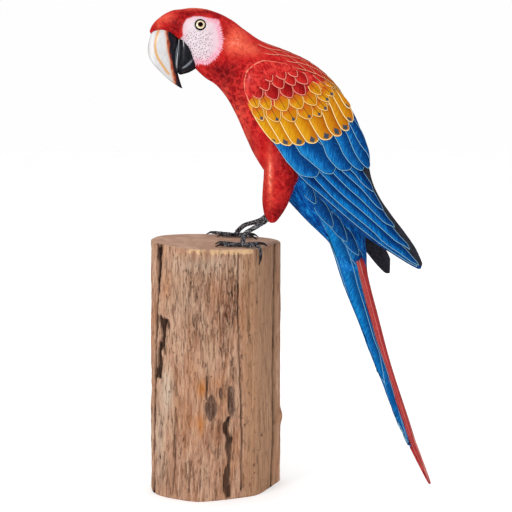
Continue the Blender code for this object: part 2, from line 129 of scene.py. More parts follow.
TAIL_BLEND = (222, 240)      # heights between which feathers pass from the bird's form to the tail's
TAIL_COAT = 0.35
TAIL_TOP_Z = 238.0
TAIL_TIP_Z = 4.6

# Legs and feet: paths of the shank and the toes; the last two points of a toe are its claw.
LOG_TOP = 253.0
LOG_TOP_RUN_X = -0.058
LOG_TOP_RUN_Y = 0.057
TOE_RADIUS = 1.95
TOE_LIFT = 2.15
HUB_RADIUS = 2.9
FEET = {
    "left": {
        "hub": (25.5, -21),
        "shank": [(57, -18.5, 283), (45, -19.4, 274), (28.2, -20.6, 264), (25.8, -21, 258)],
        "front_inner": [(15, -18.5, 0.3), (7, -17, 0.6), (2, -16, 0.6), (-2, -15.4, -1.7)],
        "front_outer": [(15, -25.5, 0.3), (7, -28, 0.5), (2, -29.4, 0.4), (-2, -30, -1.7)],
        "rear_inner": [(33, -17.5, 0.8), (40, -15, 1.4), (46.5, -13.4, 1), (50.5, -12.8, -1.6)],
        "rear_outer": [(33, -25.5, 0.6), (38, -27.6, 1.4), (42, -28.4, -1.6), (42.6, -28.8, -7),
                       (42.2, -29.4, -12), (40.6, -30.4, -17.5)],
    },
    "right": {
        "hub": (21.5, 34),
        "shank": [(57, 18.5, 283), (45, 21, 272.6), (30, 28, 267), (23.4, 33, 261)],
        "front_inner": [(12, 30, 0.3), (7, 28, 0.5), (5, 27, 0.4), (1, 26, -1.7)],
        "front_outer": [(10, 37, 0.4), (0, 39, 0.6), (-5, 40, 0.6), (-9.5, 40.8, -1.7)],
        "rear_inner": [(29, 30, 0.6), (34, 27.5, 0.8), (38, 26, 0.6), (42, 25, -1.7)],
        "rear_outer": [(29, 38, 0.6), (35.5, 40, 0.8), (40, 41, 0.4), (44, 41.4, -1.7)],
    },
}
TOES = ("front_inner", "front_outer", "rear_inner", "rear_outer")
SHANK_RADII = (2.6, 2.4, 2.35, 2.3, 2.35, 2.3)      # from inside the thigh to inside the hub
CLAW_RADII = (0.8, 0.74, 0.56, 0.36, 0.14)          # shares of the toe's radius
LOG_OUTLINE = [(-67, 5), (-65.5, -9), (-58, -23), (-40, -37), (-20, -46), (4, -41), (24, -34),
               (39, -26), (50, -8), (59, 10), (66, 27), (60, 40), (40, 47), (12, 49),
               (-18, 45), (-42, 36), (-60, 22)]
LOG_TAPER = 0.97
SIDES = (("left", -1), ("right", 1))
OUTSIDE = 90            # farther out than any part of the bird
# Where each group's random numbers start; a side adds its own -1 or 1.
SEEDS = {"red": 11, "gold": 21, "golden_scale": 26, "primary": 31, "secondary": 36, "back": 5,
         "rump": 40, "tail": 60, "red_tail": 70, "log": 8}
COAT = 0.9              # depth of the carved feathers over the form beneath


# ---------------------------------------------------------------- small helpers

def shade(colour):
    """A colour for the shader: three numbers are from a colour chart, four are the shader's own."""
    if len(colour) == 4:
        return colour
    return (*[c / 255 / 12.92 if c <= 10 else ((c / 255 + 0.055) / 1.055) ** 2.4 for c in colour], 1)


def soft_step(value, low, high):
    t = np.clip((np.asarray(value, float) - low) / (high - low), 0, 1)
    return t * t * (3 - 2 * t)


def smooth_between(rows, parts):
    """Catmull-Rom rows between the given ones, which the result still holds."""
    rows = [Vector(row) for row in rows]
    fine = []
    for i in range(len(rows) - 1):
        a = rows[max(i - 1, 0)]
        b, c = rows[i], rows[i + 1]
        d = rows[min(i + 2, len(rows) - 1)]
        for k in range(parts):
            t = k / parts
            fine.append(b + (c - a) * (t / 2) + (2 * a - 5 * b + 4 * c - d) * (t * t / 2)
                        + (3 * b - 3 * c + d - a) * (t * t * t / 2))
    fine.append(rows[-1])
    return fine


def along_line(points):
    """A smooth line through the given points, and how far along it each of its points is."""
    line = smooth_between(points, 12)
    runs = [0.0]
    for a, b in zip(line, line[1:]):
        runs.append(runs[-1] + (b - a).length)
    return line, runs


def at_share(line, runs, share):
    """The point at a share of a line's length."""
    want = share * runs[-1]
    i = min(max(int(np.searchsorted(runs, want)), 1), len(line) - 1)
    span = max(runs[i] - runs[i - 1], 1e-9)
    return line[i - 1].lerp(line[i], (want - runs[i - 1]) / span)


def distance_to_line(x, z, points):
    """Signed distance of many points from an open line in the XZ plane, positive on its right."""
    best = np.full(len(x), 1e9)
    sign = np.ones(len(x))
    for (ax, az), (bx, bz) in zip(points, points[1:]):
        dx, dz = bx - ax, bz - az
        t = np.clip(((x - ax) * dx + (z - az) * dz) / (dx * dx + dz * dz), 0, 1)
        away = np.hypot(x - ax - t * dx, z - az - t * dz)
        cross = dx * (z - az) - dz * (x - ax)
        closer = away < best
        best = np.where(closer, away, best)
        sign = np.where(closer, np.sign(-cross), sign)
    return best * sign


def distance_in_outline(x, z, points):
    """Distance from a closed outline in the XZ plane, positive inside it."""
    ring = list(points) + [points[0]]
    away = np.abs(distance_to_line(x, z, ring))
    inside = np.zeros(len(x), bool)
    for (ax, az), (bx, bz) in zip(ring, ring[1:]):
        if az == bz:
            continue
        crossing = ((az > z) != (bz > z)) & (x < (bx - ax) * (z - az) / (bz - az) + ax)
        inside ^= crossing
    return np.where(inside, away, -away)


def noise_at(co, fine, fine_z, shift=0.0, *look):
    """Noise at many places: fractal if its roughness, spacing and octaves are given, or plain."""
    read = noise.fractal if look else noise.noise
    return np.array([read(Vector((x * fine, y * fine + shift, z * fine_z)), *look) for x, y, z in co])


def places(mesh):
    """The vertices of a mesh in millimetres, as three arrays."""
    co = np.zeros(len(mesh.vertices) * 3, np.float32)
    mesh.vertices.foreach_get("co", co)
    return (co.reshape(-1, 3) / MM).T.astype(float)


def note(mesh, **notes):
    """Write one number for each vertex under each name, for the paint to read."""
    for name, values in notes.items():
        layer = mesh.attributes.new(name, "FLOAT", "POINT")
        layer.data.foreach_set("value", np.asarray(values, np.float32))


def ring_of(along, across, centre, count, squareness):
    ring = []
    for i in range(count):
        turn = 2 * math.pi * i / count
        c, s = math.cos(turn), math.sin(turn)
        power = 2 / squareness
        ring.append(centre + along * math.copysign(abs(c) ** power, c)
                    + across * math.copysign(abs(s) ** power, s))
    return ring


def profile_rings(stations, parts, count, squareness):
    """Rings between two lines in the XZ plane, each station x z, x z, half width."""
    rings = []
    for x1, z1, x2, z2, half in smooth_between(stations, parts):
        top, low = Vector((x1, 0, z1)), Vector((x2, 0, z2))
        rings.append(ring_of((top - low) / 2, Vector((0, half, 0)), (top + low) / 2, count, squareness))
    return rings


def wrap_rings(bm, rings):
    """Wrap a grid round the rings as a closed tube with pointed caps."""
    across, along = len(rings[0]), len(rings)
    centres = [sum(ring, Vector()) / across for ring in (rings[0], rings[-1])]
    made = bmesh.ops.create_grid(bm, x_segments=across, y_segments=along + 1, size=1)
    for vert in made["verts"]:
        i = round((vert.co.x + 1) / 2 * across) % across
        j = round((vert.co.y + 1) / 2 * (along + 1)) - 1
        if j < 0:
            vert.co = centres[0]
        elif j >= along:
            vert.co = centres[1]
        else:
            vert.co = rings[j][i]
    bmesh.ops.remove_doubles(bm, verts=made["verts"], dist=1e-5)


def closed_form(*forms):
    """A bmesh of closed tubes with their faces turned outward."""
    bm = bmesh.new()
    for rings in forms:
        wrap_rings(bm, rings)
    bmesh.ops.recalc_face_normals(bm, faces=bm.faces)
    return bm


def new_object(name, data):
    """An object of the scene, at its origin."""
    made = bpy.data.objects.new(name, data)
    bpy.context.scene.collection.objects.link(made)
    return made


def new_piece(name, bm, finish=None, sharp=None):
    """Turn a bmesh in millimetres into a piece in metres."""
    bmesh.ops.scale(bm, vec=(MM,) * 3, verts=bm.verts)
    mesh = bpy.data.meshes.new(name)
    bm.to_mesh(mesh)
    bm.free()
    if finish:
        mesh.materials.append(finish)
    mesh.shade_smooth()
    if sharp:
        mesh.set_sharp_from_angle(angle=math.radians(sharp))
    return new_object(name, mesh)


def settle(piece, slot, *nodes):
    """The piece rides on the statue and stands for its solids; its slot is not used."""
    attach(piece, "root")
    if nodes:
        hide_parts(*nodes)


# ---------------------------------------------------------------- paints and finishes

class Finish:
    """A painted or natural surface, built node by node."""

    def __init__(self, name, roughness=0.4, coat=0.0, coat_roughness=0.15, specular=0.5):
        self.material = bpy.data.materials.new(name)
        self.material.use_nodes = True
        self.tree = self.material.node_tree
        self.shader = self.tree.nodes["Principled BSDF"]
        for key, value in (("Roughness", roughness), ("Coat Weight", coat),
                           ("Coat Roughness", coat_roughness), ("Specular IOR Level", specular)):
            self.shader.inputs[key].default_value = value

    def node(self, kind, sockets=(), **settings):
        made = self.tree.nodes.new(kind)
        for key, value in settings.items():
            setattr(made, key, value)
        for key, value in dict(sockets).items():
            self.feed(made.inputs[key], value)
        return made

    def feed(self, socket, value):
        if isinstance(value, bpy.types.NodeSocket):
            self.tree.links.new(value, socket)
        elif value is not None:
            socket.default_value = shade(value) if isinstance(value, tuple) else value

    def read(self, name):
        return self.node("ShaderNodeAttribute", attribute_name=name).outputs["Fac"]

    def place(self, stretch=(1, 1, 1), turn=(0, 0, 0), shift=(0, 0, 0)):
        """Object coordinates in millimetres about a point, turned and then stretched."""
        sockets = {"Vector": self.node("ShaderNodeTexCoord").outputs["Object"], "Rotation": list(turn),
                   "Scale": [MM / s for s in stretch], "Location": [s * MM for s in shift]}
        return self.node("ShaderNodeMapping", sockets, vector_type="TEXTURE").outputs["Vector"]

    def join(self, x, y, z=0.0):
        return self.node("ShaderNodeCombineXYZ", {"X": x, "Y": y, "Z": z}).outputs["Vector"]

    def noise(self, vector, scale=1.0, detail=3.0, roughness=0.55, distortion=0.0):
        sockets = {"Vector": vector, "Scale": scale, "Detail": detail, "Roughness": roughness,
                   "Distortion": distortion}
        return self.node("ShaderNodeTexNoise", sockets).outputs["Fac"]

    def specks(self, scale, *look):
        """Noise that is the same every way."""
        return self.noise(self.place(), scale, *look)

    def streaks(self, stretch, lean, *look):
        """Noise drawn out along the grain, which leans about the Y axis."""
        return self.noise(self.place(stretch, (0, lean, 0)), 1.0, *look)

    def cells(self, vector, scale, randomness=1.0, flat=False):
        sockets = {"Vector": vector, "Scale": scale, "Randomness": randomness}
        return self.node("ShaderNodeTexVoronoi", sockets,
                         voronoi_dimensions="2D" if flat else "3D").outputs["Distance"]

    def maths(self, kind, *values):
        return self.node("ShaderNodeMath", enumerate(values), operation=kind).outputs[0]

    times = partialmethod(maths, "MULTIPLY")
    times_plus = partialmethod(maths, "MULTIPLY_ADD")
    plus = partialmethod(maths, "ADD")
    less = partialmethod(maths, "SUBTRACT")
    over = partialmethod(maths, "DIVIDE")
    size = partialmethod(maths, "ABSOLUTE")

    def step(self, value, low, high, start=0.0, end=1.0, soft=True):
        """start below low, end above high, and an even change between."""
        sockets = {"Value": value, "From Min": low, "From Max": high, "To Min": start, "To Max": end}
        return self.node("ShaderNodeMapRange", sockets,
                         interpolation_type="SMOOTHSTEP" if soft else "LINEAR").outputs["Result"]

    def broken(self, name, *steps):
        """A noted share, broken up by a value and the steps it takes."""
        return self.times(self.read(name), self.step(*steps))

    def band(self, value, low, high, edge):
        """1 between low and high, with soft sides."""
        rise = self.step(value, low - edge, low + edge)
        fall = self.step(value, high - edge, high + edge, 1.0, 0.0)
        return self.times(rise, fall)

    def scales(self, run, turn, length, width):
        """Rows of painted scales: 0 at the root of each and under its neighbours, 1 near its rim."""
        rows = self.over(run, length)
        odd = self.maths("MODULO", self.maths("FLOOR", rows), 2.0)
        aside = self.less(self.maths("FRACT", self.times_plus(odd, 0.5, self.over(turn, width))), 0.5)
        reach = self.times_plus(self.times(aside, aside), 2.2, self.maths("FRACT", rows))
        return self.times(self.step(reach, 0.1, 0.8), self.step(reach, 0.9, 1.04, 1.0, 0.0))

    def mix(self, share, a, b, blend="MIX"):
        return self.node("ShaderNodeMix", {0: share, 6: a, 7: b}, data_type="RGBA",
                         blend_type=blend).outputs[2]

    def washed(self, paint, *layers):
        """Colours laid over the paint in turn, each by a share, or by a value and its steps."""
        for value, *steps, colour in layers:
            paint = self.mix(self.step(value, *steps) if steps else value, paint, colour)
        return paint

    def ramp(self, value, *stops):
        made = self.node("ShaderNodeValToRGB", {"Fac": value})
        while len(made.color_ramp.elements) < len(stops):
            made.color_ramp.elements.new(0.5)
        for element, (at, colour) in zip(made.color_ramp.elements, stops):
            element.position = at
            element.color = shade(colour)
        return made.outputs["Color"]

    def split(self, vector):
        return self.node("ShaderNodeSeparateXYZ", {"Vector": vector}).outputs

    def done(self, paint, rough=None, *reliefs):
        """The finished material; each relief is a height and how many millimetres it stands."""
        normal = None
        for height, depth in reliefs:
            sockets = {"Strength": 1.0, "Distance": depth * MM, "Height": height, "Normal": normal}
            normal = self.node("ShaderNodeBump", sockets).outputs["Normal"]
        for key, value in (("Base Color", paint), ("Roughness", rough), ("Normal", normal)):
            self.feed(self.shader.inputs[key], value)
        return self.material


# ---------------------------------------------------------------- forms to lay feathers on

def remeshed(name, forms, voxel, smoothing):
    """One skin round several closed forms, with the creases between them softened."""
    lump = new_piece(name + "_lump", closed_form(*forms))
    skin = lump.modifiers.new("Skin", "REMESH")
    skin.mode = "VOXEL"
    skin.voxel_size = voxel * MM
    seen = lump.evaluated_get(bpy.context.evaluated_depsgraph_get())
    mesh = bpy.data.meshes.new_from_object(seen)
    bm = bmesh.new()
    bm.from_mesh(mesh)
    for spare in (mesh, lump.data):
        bpy.data.meshes.remove(spare)
    for _ in range(smoothing):
        bmesh.ops.smooth_vert(bm, verts=bm.verts, factor=0.5, use_axis_x=True, use_axis_y=True,
                              use_axis_z=True)
    bmesh.ops.scale(bm, vec=(1 / MM,) * 3, verts=bm.verts)
    bmesh.ops.recalc_face_normals(bm, faces=bm.faces)
    return bm


def body_rings():
    return profile_rings(BODY_STATIONS, 6, 72, 2.25)


def thigh_rings(side):
    rings = []
    for x, y, z, half_x, half_y in smooth_between(THIGH_STATIONS, 6):
        rings.append(ring_of(Vector((half_x, 0, 0)), Vector((0, half_y, 0)),
                             Vector((x, -side * y, z)), 40, 2.1))
    return rings


def trim_share(z):
    low, high = WING_TRIM_SPAN
    return math.sin(math.pi * min(max((z - low) / (high - low), 0), 1))


def wing_frame(side):
    """The swing and trim of one wing."""
    drop, trim = (0, 0) if side < 0 else (WING_RIGHT_DROP, WING_RIGHT_TRIM)
    pivot = Vector((WING_PIVOT[0], 0, WING_PIVOT[1]))
    turn = Matrix.Rotation(math.radians(drop), 4, "Y")
    return Matrix.Translation(pivot) @ turn @ Matrix.Translation(-pivot), trim


def wing_point(row, t, side, depth=0.0, plain=False):
    """A point of a wing section: t from its lower to its upper edge, depth in from its outer face."""
    low, high = Vector(row[0:3]), Vector(row[3:6])
    swing, trim = wing_frame(side)
    if not plain:
        low = low.lerp(high, trim * trim_share(low.z))
        if side > 0:      # the end of this wing is cut off square
            low.x -= max((swing @ low).x - WING_RIGHT_END + 1, 0)
            low.z += 0.9 * max(WING_RIGHT_LOWEST - (swing @ low).z, 0)
            x1, x2 = (swing @ low).x, (swing @ high).x
            high = low.lerp(high, min(max((WING_RIGHT_END - x1) / (x2 - x1), 0.2), 1))
    rise = row[6] * math.sin(math.pi * t)
    point = low.lerp(high, t) + Vector((0, depth - rise, 0))
    if plain:
        return Vector((point.x, 0, point.z))
    point = swing @ point
    return Vector((point.x, -side * point.y, point.z))


def wing_rows(parts):
    rows = smooth_between(WING_STATIONS, parts)
    return [rows[0] * 2 - rows[1]] + rows + [rows[-1] * 2 - rows[-2]]


class WingChart:
    """Where a point of the left wing's side view lies on either wing's outer face."""

    def __init__(self, side):
        rows = wing_rows(5)
        shares = [-0.03 + 1.05 * k / PLATE_PARTS for k in range(PLATE_PARTS + 1)]
        width = len(shares)
        self.side = side
        self.flat = [wing_point(row, t, side, plain=True) for row in rows for t in shares]
        self.real = [wing_point(row, t, side, COAT) for row in rows for t in shares]
        self.out = []
        for j in range(len(rows)):
            for i in range(width):
                a = self.real[j * width + min(i + 1, width - 1)] - self.real[j * width + max(i - 1, 0)]
                b = (self.real[min(j + 1, len(rows) - 1) * width + i]
                     - self.real[max(j - 1, 0) * width + i])
                normal = a.cross(b).normalized()
                self.out.append(normal * math.copysign(1, normal.y * side))
        self.tris = []
        for j in range(len(rows) - 1):
            for i in range(width - 1):
                a, b = j * width + i, (j + 1) * width + i
                self.tris += [(a, a + 1, b + 1), (a, b + 1, b)]
        self.tree = BVHTree.FromPolygons(self.flat, self.tris)

    def place(self, x, z, lift):
        spot, _, index, _ = self.tree.find_nearest(Vector((x, 0, z)))
        tri = self.tris[index]
        flat = [self.flat[k] for k in tri]
        base = barycentric_transform(spot, *flat, *[self.real[k] for k in tri])
        out = barycentric_transform(spot, *flat, *[self.out[k] for k in tri]).normalized()
        spare = (Vector((x, 0, z)) - spot) * PAST_BOARD
        return base + spare + out * lift


class Ground:
    """The smooth form of the whole bird, for feathers that cross from one part to another."""

    def __init__(self, forms):
        bm = remeshed("ground", forms, voxel=1.5, smoothing=14)
        bm.normal_update()
        self.tree = BVHTree.FromBMesh(bm)
        bm.free()

    def near(self, point, lift):
        spot, normal, _, _ = self.tree.find_nearest(point)
        return spot + normal * lift


class BackChart:
    """The back, unrolled: p along its ridge from the neck, q round it from the ridge."""

    def __init__(self, ground, side):
        self.ground = ground
        self.side = side
        self.rows = smooth_between(BODY_STATIONS[9:], 8)
        self.runs = [0.0]
        for a, b in zip(self.rows, self.rows[1:]):
            self.runs.append(self.runs[-1] + math.hypot(b[0] - a[0], b[1] - a[1]))

    def section(self, p):
        p = min(max(p, 0), self.runs[-1] - 1e-6)
        i = min(max(int(np.searchsorted(self.runs, p)), 1), len(self.rows) - 1)
        start, end = self.runs[i - 1:i + 1]
        return self.rows[i - 1].lerp(self.rows[i], (p - start) / (end - start))

    def place(self, p, q, lift):
        x1, z1, x2, z2, half = self.section(p)
        top, low = Vector((x1, 0, z1)), Vector((x2, 0, z2))
        up = (top - low) / 2
        turn = min(abs(q) / half, 1.45)
        point = ((top + low) / 2 + up * math.cos(turn) ** 0.89
                 + Vector((0, self.side * math.copysign(half * math.sin(turn) ** 0.89, q), 0)))
        beyond = max(p - self.runs[-1], 0)
        point += Vector((0.25, 0, -1)) * beyond
        return self.ground.near(point, lift - COAT)


class SideChart:
    """The flank seen from the side, on the smooth form of the whole bird."""

    def __init__(self, ground, side):
        self.ground = ground
        self.side = side

    def place(self, x, z, lift):
        start = Vector((x, self.side * OUTSIDE, z))
        spot, normal, _, _ = self.ground.tree.ray_cast(start, Vector((0, -self.side, 0)))
        if spot is None or spot.y * self.side < -2:
            return self.ground.near(Vector((x, self.side * 8, z)), lift - COAT)
        return spot + normal * (lift - COAT)


def tail_sway(z):
    t = min(max((TAIL_TOP_Z - z) / (TAIL_TOP_Z - TAIL_TIP_Z), 0), 1)
    return TAIL_SWAY * t * t


def tail_joint(row):
    """The share of the tail's depth, from its underside, at which the red ridge begins."""
    depth = max(math.dist(row[0:2], row[2:4]), 0.5)
    return min(max(1 - row[4] / depth, 0.02), 0.98)


def tail_point(row, height, y):
    low, high = Vector((row[0], 0, row[1])), Vector((row[2], 0, row[3]))
    place = low.lerp(high, height)
    place.y = y + tail_sway(place.z)
    return place


class FlankChart(SideChart):
    """The side of the rump and the tail: the tail's own forms below, the whole bird's above."""

    def __init__(self, ground, side, forms):
        super().__init__(ground, side)
        bm = closed_form(*forms)
        bm.normal_update()
        self.tail = BVHTree.FromBMesh(bm)
        bm.free()

    def place(self, x, z, lift):
        share = float(soft_step(z, *TAIL_BLEND))
        above = super().place(x, z, lift) if share > 0 else Vector()
        if share == 1:
            return above
        start = Vector((x, self.side * OUTSIDE, z))
        spot, out, _, _ = self.tail.ray_cast(start, Vector((0, -self.side, 0)))
        if spot is None:
            spot, out, _, _ = self.tail.find_nearest(Vector((x, self.side * 9 + tail_sway(z), z)))
        out = (out + Vector((0, self.side * 1.2, 0))).normalized()
        return (spot + out * (lift - TAIL_COAT)).lerp(above, share)


# ---------------------------------------------------------------- carved feathers

VANE_ACROSS = [-1, -0.93, -0.8, -0.55, -0.2, 0.2, 0.55, 0.8, 0.93, 1]
VANE_ALONG = [1 - (1 - k / 17) ** 1.6 for k in range(18)]
EDGE_DROP, EDGE_WIDTH = 0.16, 0.6                 # the rounded edge of a vane
BAKE_MARGINS = (0.08, 0.05)                       # of a vane's cell in the bake map, across and along
SMALL_ACROSS = [-1, -0.8, -0.3, 0.3, 0.8, 1]      # small feathers are many, so they get few faces
SMALL_ALONG = [1 - (1 - k / 8) ** 1.5 for k in range(9)]


def scale_outline(tip, half, length, lie, point=1.6, neck=0.3, small=False):
    """The two sides of a symmetrical feather that points lie degrees below the horizontal."""
    lie = math.radians(lie)
    run = Vector((math.cos(lie), -math.sin(lie)))
    left = Vector((-math.sin(lie), -math.cos(lie)))
    root = Vector(tip) - run * length
    sides = [], []
    for v in SMALL_ALONG if small else VANE_ALONG:
        t = max((v - neck) / (1 - neck), 0)
        width = half * (0.7 + 0.3 * min(v / neck, 1)) * max(1 - t ** point, 0) ** 0.64
        centre = root + run * (length * v)
        sides[0].append(centre + left * width)
        sides[1].append(centre - left * width)
    return sides


def blade_outline(edge, width, point, blunt, curl):
    """The two sides of a long feather from its lower edge and its width; curl rounds the tip."""
    line, runs = along_line(edge)
    chord = (line[-1] - line[0]).normalized()
    aside = Vector((-chord.y, chord.x)) * width
    sides = [], []
    for v in VANE_ALONG:
        spot = at_share(line, runs, v)
        open_ = max(1 - v ** point, 0) ** (1 / blunt)
        root = 0.65 + 0.35 * min(v / 0.4, 1)
        sides[0].append(spot + aside * (curl * (1 - open_)))
        sides[1].append(spot + aside * root * (curl + (1 - curl) * open_))
    return sides


def away_from(points, line):
    """How far many points are from a line of points."""
    best = np.full(len(points), 1e9)
    for a, b in zip(line, line[1:]):
        run = b - a
        t = np.clip(((points - a) @ run) / max(run @ run, 1e-9), 0, 1)
        best = np.minimum(best, np.linalg.norm(points - a - t[:, None] * run, axis=1))
    return best


class Tract:
    """A group of feathers with one finish: raised vanes with thin walls, made as one piece."""

    NOTES = ("edge", "side", "reach", "tone", "hue", "spot_over", "spot_along")

    def __init__(self, chart, seed):
        self.chart = chart
        self.bm = bmesh.new()
        self.notes = {name: self.bm.verts.layers.float.new(name) for name in self.NOTES}
        self.across = self.bm.verts.layers.float.new("across")
        self.along = self.bm.verts.layers.float.new("along")
        self.vane_map = self.bm.loops.layers.uv.new("Vane")
        self.number = self.bm.faces.layers.int.new("number")
        self.count = 0
        self.random = np.random.default_rng(seed)

    def add(self, sides, low=0.1, high=0.9, tilt=0.3, crown=0.25, hue=0.0, spot=None, spot_size=1.0):
        """Lay one feather: low and high are its lifts at root and tip, tilt raises its lower edge."""
        left, right = np.array(sides[0]), np.array(sides[1])
        small = len(left) == len(SMALL_ALONG)
        across, along = (SMALL_ACROSS, SMALL_ALONG) if small else (VANE_ACROSS, VANE_ALONG)
        made = bmesh.ops.create_grid(self.bm, x_segments=len(across) - 1,
                                     y_segments=len(along) - 1, size=1)["verts"]
        steps = [(round((v.co.x + 1) / 2 * (len(across) - 1)),
                  round((v.co.y + 1) / 2 * (len(along) - 1))) for v in made]
        u = np.array([across[i] for i, _ in steps])
        v = np.array([along[j] for _, j in steps])
        rows = np.array([j for _, j in steps])
        spots = left[rows] * (1 - (u[:, None] + 1) / 2) + right[rows] * ((u[:, None] + 1) / 2)
        edge = np.minimum(away_from(spots, left), away_from(spots, right))
        half = np.linalg.norm(right - left, axis=1)[rows] / 2
        middle = (left + right) / 2
        runs = np.concatenate([[0], np.cumsum(np.linalg.norm(np.diff(middle, axis=0), axis=1))])
        lift = (low + (high - low) * v - tilt * u * np.minimum(v * 3, 1) + crown * (1 - u * u)
                - EDGE_DROP * np.clip(1 - edge / EDGE_WIDTH, 0, 1) ** 2)
        lie = middle[-1] - middle[-4]
        lie = lie / np.linalg.norm(lie)
        from_spot = spots - np.array(spot) if spot else np.full((len(made), 2), 99.0)
        from_spot = from_spot / spot_size
        spot_along, spot_over = from_spot @ lie, from_spot @ np.array((-lie[1], lie[0]))
        tone = self.random.random()
        hues = hue(spots) if callable(hue) else np.full(len(made), hue)
        for k, vert in enumerate(made):
            vert.co = self.chart.place(spots[k][0], spots[k][1], lift[k])
            vert[self.across] = (u[k] + 1) / 2
            vert[self.along] = v[k]
            values = (edge[k], u[k] * half[k], runs[rows[k]], tone, hues[k], spot_over[k], spot_along[k])
            for name, value in zip(self.NOTES, values):
                vert[self.notes[name]] = float(value)
        faces = {face for vert in made for face in vert.link_faces}
        heart = min(made, key=lambda vert: abs(vert[self.across] - 0.5) + abs(vert[self.along] - 0.5))
        k = made.index(heart)
        out = self.chart.place(spots[k][0], spots[k][1], lift[k] + 1) - heart.co
        for face in faces:
            face.normal_update()
        if sum((face.normal for face in heart.link_faces), Vector()).dot(out) < 0:
            bmesh.ops.reverse_faces(self.bm, faces=list(faces))
        for face in faces:
            face[self.number] = self.count
            for loop in face.loops:
                loop[self.vane_map].uv = (loop.vert[self.across], loop.vert[self.along])
        for face in faces:
            for each in face.edges:
                if each.is_boundary:
                    each.smooth = False
        bmesh.ops.remove_doubles(self.bm, verts=made, dist=1e-5)
        self.count += 1

    def finish(self, name, material, slot, thickness=1.3):
        """Give each vane its own cell of the bake map, and make the piece."""
        bake = self.bm.loops.layers.uv.new("OFBake")
        columns = math.ceil(math.sqrt(self.count * 1.6))
        rows = math.ceil(self.count / columns)
        aside, above = BAKE_MARGINS
        for face in self.bm.faces:
            column, row = face[self.number] % columns, face[self.number] // columns
            for loop in face.loops:
                u, v = loop[self.vane_map].uv
                loop[bake].uv = ((column + aside + (1 - 2 * aside) * u) / columns,
                                 (row + above + (1 - 2 * above) * v) / rows)
        piece = new_piece(name, self.bm, material)
        wall = piece.modifiers.new("Wall", "SOLIDIFY")
        wall.thickness = thickness * MM
        wall.offset = -1
        settle(piece, slot)


# ---------------------------------------------------------------- the body in red paint

FACE_PATCH = [(-31.8, 466.3), (-28.6, 471.9), (-21.3, 474.5), (-15, 474.6), (-9.8, 473.6), (-3.5, 472.6),
              (2.8, 471.6), (3.8, 466.4), (5.7, 459), (6.7, 450.7), (5.6, 444.5), (2.8, 438.4),
              (-2.7, 432.1), (-8.9, 427.9), (-16.3, 428.9), (-20.6, 427.9), (-22, 424), (-36, 424),
              (-36, 452), (-32, 455.8), (-32.4, 461.4)]
# Airbrushed shadows and lights: x, z, half length along x, along z, strength.
# Besides the statue's own airbrushed shading, the shadows hold painted shade at the back of and under the
# thigh.
SHADOWS = [(-37, 467, 7, 8, 1.0), (-28, 477, 8, 3.5, 0.95), (-12, 478.8, 9, 2.8, 0.85),
           (2, 476, 7, 3, 0.75), (9, 462, 3.5, 12, 0.4), (-2, 424, 9, 7, 0.8), (10, 417, 10, 12, 0.85),
           (18, 396, 8, 10, 0.4), (78, 322, 8, 30, 0.9), (34, 352, 8, 12, 0.5), (62, 334, 7, 16, 0.4),
           (60, 284, 10, 7, 0.7), (-58, 462, 6, 4, 0.5), (-44, 462, 6, 4, 0.5), (16, 426, 8, 6, 0.45),
           (66, 306, 9, 26, 0.4), (57, 284, 12, 14, 0.35)]
# The lights hold painted highlights too: a streak down the thigh and a pale rim of light along the
# belly's front.
LIGHTS = [(20, 452, 10, 12, 0.85), (34, 443, 12, 6, 0.6), (-50, 474, 9, 5, 0.6), (-20, 483, 26, 2.2, 0.9),
          (-56, 466, 3, 4, 0.4), (51, 316, 4, 26, 0.25), (52, 322, 1.9, 20, 1.0), (12, 446, 4, 6, 0.4),
          (9, 398, 3, 12, 0.5), (19, 377, 3, 12, 0.5), (30, 354, 3.4, 14, 0.6), (38, 338, 3, 8, 0.5),
          (24, 380, 5, 16, 0.35)]
RUMP_LINE = [(104, 352), (90, 345), (81, 322), (79, 317), (76.5, 311), (74.4, 305), (71.8, 297),
             (69.4, 290), (66.5, 284), (62, 274)]
FEATHERED = [(18, 472), (30, 447), (45, 437), (60, 433.5), (80, 424), (100, 408), (118, 388), (124, 365),
             (112, 345), (88, 330), (86, 306), (94, 286), (106, 262), (117, 240), (118, 210), (175, 210),
             (175, 490), (18, 490)]


